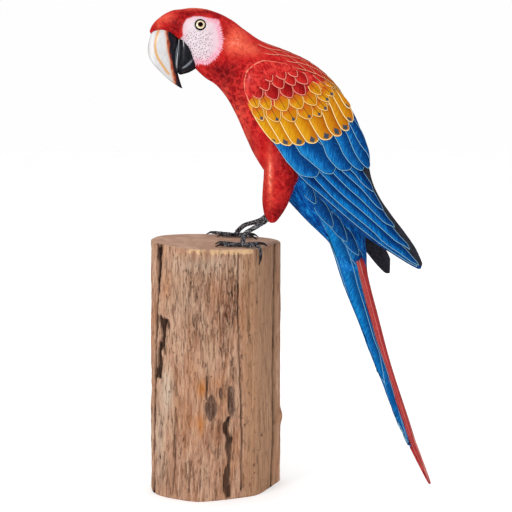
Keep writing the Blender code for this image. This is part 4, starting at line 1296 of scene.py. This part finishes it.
def make_back(ground):
    finish = feather_finish("back_feather_paint",
                            ((0.0, RED), (0.15, (196, 32, 30)), (0.3, ORANGE), (0.48, YELLOW),
                             (0.6, YELLOW), (0.72, (20, 90, 130)), (0.85, BLUE)),
                            [(0.0, (240, 146, 120)), (0.35, (244, 190, 130)), (0.6, (232, 214, 150)),
                             (0.72, (130, 184, 206))],
                            (0.06, 0.01, 0.015, 1), (0.42, 0.3, 0.4, 1), (236, 150, 96),
                            depth=0.25, line=0.8)
    tract = Tract(BackChart(ground, 1), SEEDS["back"])
    chart = tract.chart
    half, length, pitch, gap = 4.1, 24, 6.8, 10.5
    for row, p in enumerate(np.arange(224.0, 36, -gap)):
        between_wings = p > 60
        reach = 27 if between_wings else 20
        count = int(reach // pitch)
        for k in range(-count - 1, count + 2):
            q = (k + (0.5 if row % 2 else 0.0)) * pitch
            edge = q + half * math.copysign(1, q)
            wide = max(abs(chart.place(p - back, edge, 0).y) for back in (0, 8, 16))
            if abs(q) > reach or (between_wings and wide > WINGS_APART):
                continue
            tract.add(scale_outline((p, q), half, length, 0.0, point=1.15, neck=0.25, small=True),
                      low=0.0, high=0.8, tilt=0.0, crown=0.1, hue=back_hue)
    tract.finish("back_feathers", finish, "body_paint", thickness=1.0)


RUMP_LOBES = [(97.4, 292.6), (114.9, 269), (128.8, 254.5), (141, 240.5), (150.5, 222)]


def make_rump(ground, finish):
    for name, side in SIDES:
        tract = Tract(SideChart(ground, side), SEEDS["rump"] + side)
        for k, (x, z) in reversed(list(enumerate(RUMP_LOBES))):
            tract.add(scale_outline((x, z), 6.5, 34, 57, point=1.7), low=0.0, high=1.2, tilt=0.2,
                      hue=0.5 + 0.04 * k)
        tract.finish("rump_coverts_" + name, finish, "body_paint")


# The long tail feathers by the lines that their lower and upper edges follow.
TAIL_BLADES = [
    ([(99, 280.5), (105, 272), (109.4, 261), (113.6, 249.6), (121, 226), (129.8, 200), (140.4, 172),
      (150.4, 145), (160, 121), (167.4, 109)],
     [(113, 286), (122, 265), (129.4, 250.7), (136.1, 232.6), (142.8, 206.4), (150.1, 185), (159, 155),
      (165.2, 139), (171, 120), (170.6, 109)], 0.1),
    ([(118, 268), (124.4, 258.7), (127.4, 250.7), (134.1, 232.6), (140.8, 206.4), (148.1, 185),
      (157.5, 153.4), (163.2, 139), (167, 117), (171, 93), (181.4, 69), (193, 45)],
     [(131, 264), (134.7, 243.6), (142.7, 218.4), (150, 192.1), (156.3, 169.7), (161.6, 150.3),
      (167.8, 133.9), (178.3, 102.9), (187, 73.9), (195.6, 48)], 0.3),
]
TAIL_RED_BLADE = ([(137.6, 238), (142.9, 218.4), (150.2, 192.1), (156.5, 169.7), (161.8, 150.3),
                   (168, 133.9), (178.5, 102.9), (187.4, 73.9), (196, 47), (206, 26), (215.4, 6)],
                  [(151, 224), (152.4, 215), (155.6, 202), (161.8, 179), (172.6, 138.4),
                   (180.6, 112), (193.4, 73.2), (201.6, 46), (208.6, 29), (215.8, 7)])


def blade_between(left, right, point=6.0):
    """The two sides of a long feather from the lines they follow; they close at its tip."""
    (a, a_runs), (b, b_runs) = along_line(left), along_line(right)
    sides = [], []
    for v in VANE_ALONG:
        p, q = at_share(a, a_runs, v), at_share(b, b_runs, v)
        shut = 1 - math.sqrt(max(1 - v ** point, 0))
        heart = p.lerp(q, 0.4)
        sides[0].append(p.lerp(heart, shut))
        sides[1].append(q.lerp(heart, shut))
    return sides


def tail_loops():
    """Refined sections of the red ridge and of either blue side."""
    ridge, sides = [], {-1: [], 1: []}

    def rounded(row, *spots):
        """A loop through points given by their height in the section and their y."""
        points = [tail_point(row, height, y) for height, y in spots]
        return smooth_between(points + points[:1], 5)[:-1]

    for row in smooth_between(TAIL_STATIONS, 8):
        joint, wide, narrow = tail_joint(row), row[5], row[6]
        top = 1 - 0.3 * (1 - joint)
        ridge.append(rounded(row, (joint + 0.02, -narrow), (top, -narrow * 0.8), (0.99, -narrow * 0.3),
                             (0.99, narrow * 0.3), (top, narrow * 0.8), (joint + 0.02, narrow)))
        for _, side in SIDES:
            sides[side].append(rounded(row, (joint, side * 0.15), (joint, side * narrow * 1.1),
                                       (joint * 0.45, side * wide * 0.95), (joint * 0.12, side * wide),
                                       (0.01, side * wide * 0.8), (0.04, side * 0.15)))
    ends = [tuple(TAIL_STATIONS[-1][:4]) + (TAIL_STATIONS[-1][5],)] + TAIL_RED_END
    for *row, half in smooth_between(ends, 8)[1:]:
        ridge.append(rounded(row, (0.02, -half * 0.7), (0.6, -half), (0.99, -half * 0.4),
                             (0.99, half * 0.4), (0.6, half), (0.02, half * 0.7)))
    return ridge, sides


def tail_finish(name, dark, middle, light, line):
    made = Finish(name, roughness=0.4, coat=0.08, coat_roughness=0.2, specular=0.08)
    strokes = made.streaks((0.7, 0.7, 0.1), -0.24, 4, 0.6, 0.2)
    paint = made.ramp(strokes, (0.3, dark), (0.5, middle), (0.72, light))
    blue = made.ramp(strokes, (0.4, (0, 34, 92)), (0.62, (0, 96, 168)))
    paint = made.washed(paint, (made.size(made.read("line")), 0.3, 0.9, 0.8, 0.0, line),
                        (made.read("covered"), blue))
    return made.done(paint, None, (strokes, 0.3), (made.specks(0.5, 3), 0.12))


BLUE_OVER_RED = [(153.4, 219), (147.6, 233), (138, 247)]
RED_MIDLINE = [(141.8, 236.3), (147.5, 214.1), (153.3, 193.8), (158.5, 173.4), (170.5, 136), (184, 98),
               (198, 56), (207, 34), (215, 8)]


def make_tail(ground, ridge, sides):
    red = tail_finish("tail_red_paint", (104, 18, 24), (160, 40, 42), (190, 74, 66), (210, 140, 128))
    blue = tail_finish("tail_blue_paint", (0, 60, 130), (0, 100, 176), (44, 152, 212), (150, 200, 220))
    piece = new_piece("tail_red_ridge", closed_form(ridge), red)
    x, _, z = places(piece.data)
    note(piece.data, line=distance_to_line(x, z, RED_MIDLINE),
         covered=soft_step(distance_to_line(x, z, BLUE_OVER_RED), -0.4, 0.4) * soft_step(z, 212, 214))
    settle(piece, "tail_red_paint", "tail_red")
    vanes = feather_finish("tail_feather_paint", ((0.0, SKY), (0.5, BLUE), (1.0, NAVY)), (140, 196, 220),
                           (2, 14, 44), BLUE_DUSK, BLUE_GLOW, depth=0.6, line=0.62, shadow=0.95)
    red_vanes = feather_finish("tail_red_feather_paint", ((0.0, (190, 70, 66)), (0.5, (172, 56, 58)),
                                                          (1.0, (120, 26, 34))),
                               (206, 118, 108), (44, 6, 20), (0.4, 0.16, 0.22, 1), (212, 112, 100),
                               shaft=(214, 140, 128), depth=0.3, line=0.6, shadow=0.3)
    for name, side in SIDES:
        piece = new_piece("tail_blue_" + name + "_side", closed_form(sides[side]), blue)
        count = len(piece.data.vertices)
        note(piece.data, line=np.full(count, 9.0), covered=np.zeros(count))
        settle(piece, "tail_blue_paint", "tail_blue_" + name)
        chart = FlankChart(ground, side, [ridge, sides[-1], sides[1]])
        tract = Tract(chart, SEEDS["tail"] + side)
        for left, right, hue in reversed(TAIL_BLADES):
            tract.add(blade_between(left, right), low=0.3, high=0.9, tilt=0.35, crown=0.15, hue=hue)
        tract.finish("tail_blades_" + name, vanes, "tail_blue_paint", thickness=1.0)
        tract = Tract(chart, SEEDS["red_tail"] + side)
        tract.add(blade_between(*TAIL_RED_BLADE), low=0.5, high=0.6, tilt=0.0, crown=0.2, hue=0.3)
        tract.finish("tail_red_blade_" + name, red_vanes, "tail_red_paint", thickness=1.0)
    return vanes


# ---------------------------------------------------------------- legs, feet and claws

def log_top(x, y):
    return LOG_TOP + LOG_TOP_RUN_X * x + LOG_TOP_RUN_Y * y


def tube_rings(points, radii, count=20, parts=6):
    """Round sections along a smooth path, with the radius given at each of its points."""
    path = smooth_between([tuple(p) + (r,) for p, r in zip(points, radii)], parts)
    rings = []
    across = None
    for k, row in enumerate(path):
        ahead = Vector(path[min(k + 1, len(path) - 1)][:3]) - Vector(path[max(k - 1, 0)][:3])
        ahead.normalize()
        if across is None:
            across = ahead.orthogonal().normalized()
        across = (across - ahead * across.dot(ahead)).normalized()
        radius = max(row[3], 0.05)
        rings.append(ring_of(across * radius, ahead.cross(across) * radius, Vector(row[:3]), count, 2))
    return rings


def toe_line(hub, steps):
    path = [(hub[0], hub[1], log_top(*hub) + TOE_LIFT + 0.4)]
    path += [(x, y, log_top(x, y) + TOE_LIFT + rise) for x, y, rise in steps]
    return [Vector(point) for point in path]


def leg_finish():
    made = Finish("speckled_leg_paint", roughness=0.5, specular=0.2)
    grains = made.cells(made.place(), 0.55)
    speck = made.specks(0.74, 3, 0.65)
    paint = made.ramp(speck, (0.44, (8, 7, 9)), (0.51, (44, 43, 46)), (0.57, (144, 143, 148)))
    paint = made.washed(paint, (grains, 0.5, 0.8, 0.0, 0.8, (8, 7, 9)))
    return made.done(paint, made.step(speck, 0.3, 0.7, 0.4, 0.65),
                     (made.step(grains, 0.0, 0.8, 1.0, 0.0), 0.4), (speck, 0.25))


def claw_finish():
    made = Finish("claw_black_paint", roughness=0.3, coat=0.3)
    speck = made.noise(made.place((1, 1, 0.4)), 1.2, 3)
    return made.done(made.ramp(speck, (0.3, (14, 13, 14)), (0.7, (52, 48, 48))), None, (speck, 0.1))


def lumpy(bm, depth, scale):
    bm.normal_update()
    for vert in bm.verts:
        swell = noise.fractal(vert.co * scale, 0.8, 2.1, 3)
        vert.co += vert.normal * (depth * swell)


def make_legs():
    leg, claw = leg_finish(), claw_finish()
    for name, foot in FEET.items():
        hub = foot["hub"]
        centre = Vector((hub[0], hub[1], log_top(*hub) + HUB_RADIUS + 0.3))
        forms = [tube_rings([centre + Vector((0, 0, -2.6)), centre + Vector((0, 0, -1.8)), centre,
                             centre + Vector((0, 0, 1.8)), centre + Vector((0, 0, 2.7))],
                            [0.8, 2.1, 2.9, 2.3, 1.2], 20, 4)]
        claws = []
        for key in TOES:
            *toe, before_tip, tip = toe_line(hub, foot[key])
            radii = [TOE_RADIUS * (1 - 0.06 * k) for k in range(len(toe))]
            last = toe[-1] + (before_tip - toe[-1]).normalized() * 0.5
            forms.append(tube_rings(toe + [last], radii + [TOE_RADIUS * 0.62], 20, 6))
            start = toe[-1] + (before_tip - toe[-1]).normalized() * 0.1
            line = [start, start.lerp(before_tip, 0.55), before_tip, before_tip.lerp(tip, 0.6), tip]
            claws.append(tube_rings(line, [TOE_RADIUS * r for r in CLAW_RADII], 20, 5))
        bm = remeshed("foot_" + name, forms, voxel=0.4, smoothing=4)
        lumpy(bm, 0.3, 0.55)
        piece = new_piece("foot_" + name + "_speckled", bm, leg)
        settle(piece, "leg_speckled", "foot_" + name)
        piece = new_piece("claws_" + name, closed_form(*claws), claw)
        settle(piece, "claw_black", *[f"claw_{name}_{key}" for key in TOES])
        path = [Vector(p) for p in foot["shank"]] + [centre + Vector((0, 0, 2.2))]
        path.insert(0, path[0] + (path[0] - path[1]).normalized() * 6)
        bm = closed_form(tube_rings(path, SHANK_RADII, 28, 18))
        lumpy(bm, 0.28, 0.5)
        piece = new_piece("shank_" + name + "_speckled", bm, leg)
        settle(piece, "leg_speckled", "shank_" + name)


# ---------------------------------------------------------------- the log

LOG_ROWS = 210
RING_STEPS = 900
KNOTS = [(-6.9, 94.3, 7, 14.5), (12.4, 99.5, 4.2, 18), (2.6, 108.5, 2.2, 7)]
# Splits in the front of the log: a line down the wood, half width, depth, darkness.
# The darkness is painted shade in the split.
SPLITS = [([(-54.2, 262), (-55.4, 245), (-56.8, 225), (-58.6, 205), (-60.2, 170), (-61.8, 121), (-63, 64),
            (-64, 8), (-64.4, -5)], 0.85, 2.4, 1.0),
          ([(-56, 250), (-56.4, 232), (-57.8, 214)], 1.3, 2.6, 1.0),
          ([(-41.6, 92), (-43.4, 66), (-42.2, 44), (-46, 4)], 0.55, 1.0, 0.6),
          ([(-33, 38), (-30.6, 26), (-28.4, 10)], 0.9, 1.2, 0.55),
          ([(-31.4, 30), (-32.2, 20)], 0.6, 0.9, 0.5),
          ([(20.6, 246), (19.7, 196), (22.5, 107.7), (23.6, 60), (22.6, 8)], 0.6, 1.0, 0.75),
          ([(31, 240), (30.4, 200), (30.8, 150)], 0.4, 0.4, 0.3),
          ([(59.2, 260), (57.2, 131.4), (57.1, 39.8), (54.4, -5)], 0.9, 2.2, 1.0),
          ([(-10.6, 126), (-10, 114), (-11.4, 103)], 0.9, 1.0, 0.8)]
# Decayed streaks: x, z and half width along each.
ROT = [[(-55, 184, 1.8), (-53.6, 180, 4.6), (-52.6, 172, 4.0), (-52.4, 164, 3.4), (-54.2, 156, 3.2),
        (-56.4, 146, 3.4), (-57, 134, 3.0), (-58, 120, 1.6)],
       [(10.8, 84, 1.5), (7.4, 78, 2.6), (7.8, 68, 2.4), (10.8, 61, 3.2), (9.8, 54, 3.2), (11.2, 44, 2.4),
        (10.6, 36, 1.4), (8.4, 26, 2.9), (7.8, 16, 2.4), (9, 9, 2.6), (9.4, 2, 1.4)]]
HOLES = [(32, 164), (23.9, 144), (13.7, 139.1), (17.3, 185.3), (-25, 214.9), (39.9, 196.8), (-48, 108),
         (44, 60), (27, 74), (36, 32)]
# Colour on the front of the log: x, z, half size across and along, strength.
AMBER = [(-15.8, 114, 4.6, 9, 1.0), (-17, 77, 3, 11, 0.75), (29, 208, 6, 8, 0.5), (-22, 82, 9, 8, 0.3),
         (26, 180, 5, 18, 0.25), (34, 96, 5, 24, 0.2), (-50, 210, 5, 14, 0.35), (1, 120, 9, 8, 0.25)]
ASHY = [(-34, 206, 16, 34, 0.4), (-10, 236, 24, 14, 0.25), (-50, 108, 6, 24, 0.8), (-58, 60, 5, 40, 0.5),
        (-22, 236, 30, 8, 0.25), (40, 224, 5, 20, 0.3)]
DUSKY = [(4, 176, 11, 26, 0.6), (13, 212, 8, 30, 0.75), (-22, 224, 12, 26, 0.75), (-24, 176, 9, 26, 0.45),
         (-48, 24, 14, 20, 0.3), (24, 200, 5, 34, 0.45), (37, 50, 5, 26, 0.35), (-38, 60, 6, 26, 0.4),
         (2, 68, 12, 16, 0.3), (14, 130, 8, 20, 0.35)]
# The log's own rounding at its upper end: how far above its top each ring is, and how far in.
LIP = [(-1.3, 0.008), (-0.5, 0.025)] + [(0, share) for share in (0.05, 0.09, 0.14, 0.2, 0.27, 0.35, 0.44,
                                                                 0.54, 0.65, 0.77, 0.88, 0.96)]
PIT_COUNT = 46
CHECK_COUNT = 70      # short checks along the grain


def wood_finish():
    made = Finish("weathered_log_wood", roughness=0.8, specular=0.15)
    fibre = made.streaks((0.8, 0.8, 0.05), 0, 6, 0.68, 0.5)
    grain = made.streaks((0.3, 0.3, 0.034), 0, 6, 0.68, 0.7)
    fine = made.streaks((2.4, 2.4, 0.3), 0, 4, 0.65)
    patch = made.streaks((0.05, 0.05, 0.016), 0, 4, 0.6)
    flake = made.streaks((0.13, 0.13, 0.026), 0, 6, 0.66, 0.8)
    bark = made.ramp(grain, (0.32, (132, 90, 68)), (0.43, (166, 123, 98)), (0.55, (188, 147, 121)),
                     (0.7, (208, 172, 144)))
    torn = made.streaks((0.5, 0.5, 0.07), 0, 5, 0.7, 0.6)
    clusters = made.times(made.plus(made.read("dusky"), made.step(patch, 0.42, 0.56, 0.5, 0.05)),
                          made.read("rough"))
    veins = made.times(made.step(made.size(made.less(flake, 0.5)), 0.001, 0.009, 0.8, 0.0),
                       made.step(torn, 0.4, 0.56, 1.0, 0.0))
    sawn = made.ramp(made.streaks((0.4, 0.4, 0.02), 0, 5, 0.6), (0.3, (148, 108, 80)),
                     (0.7, (182, 140, 108)))
    sawn = made.washed(sawn, (fine, 0.34, 0.5, 0.4, 0.0, (122, 84, 60)))
    pith = made.place((0.085, 0.085, 0.001), shift=(-8, -2, 0))
    rings = made.node("ShaderNodeTexWave", {"Vector": pith, "Distortion": 2.5, "Detail": 3},
                      wave_type="RINGS", rings_direction="Z")
    end = made.ramp(rings.outputs["Fac"], (0.1, (184, 146, 124)), (0.9, (212, 178, 154)))
    end = made.washed(end, (made.specks(0.07, 4), 0.4, 0.6, 0.0, 0.6, (168, 130, 110)),
                      (fine, 0.36, 0.5, 0.3, 0.0, (126, 92, 76)))
    fresh = made.ramp(fine, (0.3, (204, 160, 118)), (0.7, (226, 192, 150)))
    ragged = made.plus(made.read("fresh"), made.step(grain, 0.35, 0.65, -0.45, 0.45, soft=False))
    # The darkest colour: the rot's own, and painted shade in the splits, creases, checks and bore holes.
    rot_and_hollow_shade = made.ramp(made.times_plus(torn, 0.5, made.times(fine, 0.5)), (0.42, (18, 9, 6)),
                       (0.6, (60, 34, 22)))
    bark = made.washed(
        bark, (patch, 0.46, 0.62, 0.0, 0.4, (172, 116, 78)),
        (patch, 0.34, 0.46, 0.35, 0.0, (202, 168, 140)),
        (fibre, 0.34, 0.46, 0.5, 0.0, (112, 70, 46)), (fine, 0.32, 0.48, 0.3, 0.0, (108, 70, 50)),
        (made.broken("ashy", fibre, 0.35, 0.55, 0.5, 1.0), (198, 180, 160)),
        (made.broken("dusky", grain, 0.38, 0.56, 1.0, 0.3), (100, 60, 40)),
        (made.broken("stain", grain, 0.3, 0.6, 0.6, 1.0), (184, 114, 54)),
        (made.times(made.step(torn, 0.36, 0.43, 0.95, 0.0), clusters), (54, 28, 18)),
        (made.times(veins, clusters), (70, 40, 26)), (made.read("sawn"), sawn), (made.read("end"), end),
        (ragged, 0.4, 0.7, 0.0, 0.85, fresh),
        (made.broken("knot", fine, 0.35, 0.6, 1.0, 0.75),
         made.ramp(grain, (0.35, (50, 33, 28)), (0.65, (104, 80, 70)))),
        (made.broken("dark", fine, 0.3, 0.66, 1.0, 0.93), rot_and_hollow_shade))
    return made.done(bark, made.step(fibre, 0.3, 0.7, 0.72, 0.9),
                     (fibre, 0.5), (grain, 0.6), (made.step(torn, 0.34, 0.46), 0.7), (fine, 0.22))


def log_ring():
    """Points round the log, closer together on its front."""
    outline, runs = along_line([point + (0,) for point in LOG_OUTLINE + LOG_OUTLINE[:1]])
    fine = [at_share(outline, runs, k / RING_STEPS) for k in range(RING_STEPS)]
    ring, spare = [], 0.0
    for a, b in zip(fine, fine[1:] + fine[:1]):
        if spare <= 0:
            ring.append(a)
            spare += 0.72 if a.y < 4 else 2.0
        spare -= (b - a).length
    return ring


def make_log():
    ring = log_ring()
    middle = sum(ring, Vector()) / len(ring)
    rings = []

    def section(height, shrink=0.0, top=None):
        """The ring at a share of the log's height, drawn in; or one on its upper end."""
        made = []
        for point in ring:
            inward = (middle - point).normalized()
            spot = point + inward * shrink if top is None else point.lerp(middle, shrink)
            if spot.x < 0:
                spot = Vector((spot.x * (1 + (LOG_TAPER - 1) * height), spot.y, 0))
            upper = log_top(spot.x, spot.y)
            spot.z = (upper - 2.2) * height if top is None else upper + top
            made.append(spot)
        return made

    for shrink in (30, 18, 8, 3):
        rings.append(section(0, shrink))
    for row in range(LOG_ROWS + 1):
        rings.append(section(row / LOG_ROWS, 0.35 if row == 0 else 0))
    for rise, inward in LIP:
        rings.append(section(1, inward, rise))
    bm = closed_form(rings)
    bm.normal_update()
    co = np.array([vert.co for vert in bm.verts])
    x, y, z = co.T
    top = log_top(x, y)
    wall = soft_step(z, 0.3, 3) * soft_step(top - z, 0.8, 4)
    front = (y < 14) * 1.0
    fray = noise_at(co, 0.25, 0.03, 0, 0.7, 2.1, 5)
    ridge = np.abs(noise_at(co, 0.11, 0.012, 9, 0.8, 2.0, 4))
    swell, chips = noise_at(co, 0.04, 0.02), noise_at(co, 0.16, 0.06, 3)
    smooth_side = soft_step(x, 21, 30) * front
    bumpy = (1 - 0.85 * smooth_side) * (0.5 + 0.5 * soft_step(-x, -28, -10))
    dark, depth = np.zeros(len(x)), np.zeros(len(x))
    heights = np.arange(-10, 280, 2.0)
    for k, (line, width, deep, tint) in enumerate(SPLITS):
        drift, torn = (0.3, 0.25) if deep > 2 else (0.8, 0.6)
        wander = [noise.fractal(Vector((0.1, k * 9.0, v * 0.07)), 0.7, 2.2, 3) * 1.1 for v in heights]
        away = np.abs(distance_to_line(x + np.interp(z, heights, wander) * drift, z, line))
        inside = soft_step(width * (1.1 + torn * fray) - away, -0.45, 0.35) * front
        depth += deep * inside
        # painted shade in the split
        dark = np.maximum(dark, inside * tint)
    zone = np.clip(0.3 + pile(x, z, DUSKY) + 0.4 * soft_step(z, 120, 200), 0, 1) * front
    crease = np.exp(-(noise_at(co, 0.15, 0.017, 4, 0.75, 2.1, 4) / 0.035) ** 2)
    crease = crease * zone * soft_step(-x, -24, -14) * soft_step(fray, -0.35, 0.15)
    depth += 1.3 * crease
    # painted shade in the creases
    dark = np.maximum(dark, 0.7 * crease)
    for streak, tint in zip(ROT, (1.0, 0.86)):
        spine = np.array(streak)[::-1]
        middle_x = np.interp(z, spine[:, 1], spine[:, 0])
        half = np.interp(z, spine[:, 1], spine[:, 2], 0, 0)
        ragged = half * 0.86 + fray * 3.0 + chips * 2.2
        inside = soft_step(ragged - np.abs(x - middle_x), -0.7, 0.7) * (half > 0) * front
        depth += 1.7 * inside
        dark = np.maximum(dark, inside * (tint + 0.12 * chips))
    knot = np.zeros(len(x))
    for cx, cz, rx, rz in KNOTS:
        away = np.hypot((x - cx) / rx, (z - cz) / rz) + 0.22 * chips
        knot = np.maximum(knot, soft_step(-away, -1.0, -0.75) * front)
        depth -= 0.9 * np.exp(-((away - 0.95) / 0.2) ** 2) * front
        depth += 1.1 * np.exp(-(away / 0.7) ** 2) * front
    recess = soft_step(x, -59.6, -58.6) * soft_step(-x, 55.4, 57) * soft_step(z, 212, 218) * front
    depth += 1.8 * recess
    depth -= 2.4 * np.exp(-((x - 65) / 5) ** 2 - ((z - 68) / 7) ** 2)
    depth += 0.9 * soft_step(x, 38.6, 39.8) * soft_step(-x, -46, -40) * soft_step(z, 150, 190) * front
    pits = np.zeros(len(x))
    rng = np.random.default_rng(SEEDS["log"])
    for k in range(PIT_COUNT):
        cx, cz = HOLES[k] if k < len(HOLES) else (rng.uniform(-52, 50), rng.uniform(12, 235))
        size = 0.95 if k < len(HOLES) else 0.6
        pits = np.maximum(pits, np.exp(-(np.hypot(x - cx, z - cz) / size) ** 2) * front)
    # painted shade in the bore holes
    dark = np.maximum(dark, pits)
    for _ in range(CHECK_COUNT):
        cx, cz = rng.uniform(-56, 34), rng.uniform(8, 244)
        long, lean = rng.uniform(4, 15), rng.normal(0, 0.05)
        away = np.abs(x - cx - lean * (z - cz) + 0.5 * np.sin((z - cz) * 0.5 + cx))
        check = np.exp(-(away / 0.55) ** 2 - ((z - cz) / long) ** 4) * front
        depth += 0.7 * check
        # painted shade in the checks
        dark = np.maximum(dark, 0.55 * check * rng.uniform(0.3, 1))
    depth += pits * 0.9 + bumpy * (0.7 * (0.45 - ridge * 1.7) + 0.7 * fray + 0.6 * chips) + 0.5 * swell
    depth = depth * wall
    for vert, sink in zip(bm.verts, depth):
        vert.co -= vert.normal * float(sink)
    piece = new_piece("log_weathered", bm, wood_finish())
    mesh = piece.data
    bared = 0.55 * soft_step(x, -34, -26) + 0.45 * soft_step(x, -6, 0)
    # dark: the rot's own colour, with painted shade in the splits, creases, checks, holes and left groove
    note(mesh, dark=np.clip(dark + recess * 0.8, 0, 1) * soft_step(top - z, 0.2, 1), knot=knot * 0.92,
         stain=pile(x, z, AMBER) * front, ashy=pile(x, z, ASHY) * front, dusky=pile(x, z, DUSKY) * front,
         fresh=soft_step(z - top, -6.5, -3.2) * bared * soft_step(-x, -37, -33) * front
         * soft_step(top - z, -0.3, 0.6),
         sawn=smooth_side * 0.85, end=soft_step(z - top, -1.0, -0.4), rough=np.clip(bumpy, 0, 1))
    settle(piece, "log_wood", "log")


# ---------------------------------------------------------------- the room

# The lamps: name, place, power and size, all aimed at the middle of the bird.
LAMPS = [("key", (-1.15, -1.3, 0.95), 10, 0.4), ("side", (1.5, -0.9, 0.7), 1.5, 0.5),
         ("top", (0.1, -0.3, 1.7), 1.8, 0.8), ("back", (0.3, 1.6, 0.9), 3, 1.0)]
LAMP_AIM = Vector((0.05, 0, 0.25))
WORLD_STRENGTH = 0.99
FLOOR_HALF = 6.0
FLOOR_GLOW = 0.27
VIEW_TARGET = Vector((0.0395, 0, 0.2387))
VIEW_DISTANCE = 1.4222
VIEW_TURN, VIEW_RISE = -3, 7.5
VIEW_LENS = 100


def make_room():
    world = bpy.data.worlds.new("pale_room")
    bpy.context.scene.world = world
    world.use_nodes = True
    sky = world.node_tree.nodes["Background"]
    sky.inputs["Color"].default_value = (1.0, 1.0, 1.0, 1)
    sky.inputs["Strength"].default_value = WORLD_STRENGTH
    world.cycles_visibility.glossy = False
    bm = bmesh.new()
    bmesh.ops.create_grid(bm, x_segments=2, y_segments=2, size=FLOOR_HALF)
    mesh = bpy.data.meshes.new("floor")
    bm.to_mesh(mesh)
    bm.free()
    floor = new_object("floor", mesh)
    floor.location.z = CAD_BOX[0][2]
    made = Finish("pale_floor", roughness=0.7, specular=0.2)
    pale = made.ramp(made.streaks((0.01, 0.01, 0.01), 0, 2), (0.3, (0.8, 0.8, 0.8, 1)),
                     (0.7, (0.83, 0.83, 0.83, 1)))
    made.shader.inputs["Emission Color"].default_value = (1, 1, 1, 1)
    made.shader.inputs["Emission Strength"].default_value = FLOOR_GLOW
    mesh.materials.append(made.done(pale))
    floor.visible_glossy = False
    for name, place, power, size in LAMPS:
        lamp = bpy.data.lights.new(name, "AREA")
        lamp.energy = power
        lamp.size = size
        light = new_object(name, lamp)
        light.location = place
        light.rotation_euler = (LAMP_AIM - Vector(place)).to_track_quat("-Z", "Y").to_euler()
        light.visible_glossy = name == "key"      # one soft highlight, as from a single window


def make_camera():
    lens = bpy.data.cameras.new("view")
    lens.lens = VIEW_LENS
    lens.sensor_width = 36
    view = new_object("view", lens)
    turn, rise = math.radians(VIEW_TURN), math.radians(VIEW_RISE)
    away = Vector((math.sin(turn) * math.cos(rise), -math.cos(turn) * math.cos(rise), math.sin(rise)))
    view.location = VIEW_TARGET + away * VIEW_DISTANCE
    view.rotation_euler = (-away).to_track_quat("-Z", "Y").to_euler()
    bpy.context.scene.camera = view


def main():
    make_camera()
    make_room()
    bpy.context.scene.view_settings.view_transform = "Standard"
    body_ground = Ground([body_rings(), thigh_rings(-1), thigh_rings(1)])
    make_body()
    make_bill()
    make_eyes(body_ground)
    make_wings()
    ridge, sides = tail_loops()
    whole = Ground([body_rings(), *[plate_rings(side, None)[0] for side in (-1, 1)], sides[-1], sides[1]])
    vanes = make_tail(whole, ridge, sides)
    make_back(whole)
    make_rump(whole, vanes)
    make_legs()
    make_log()


main()
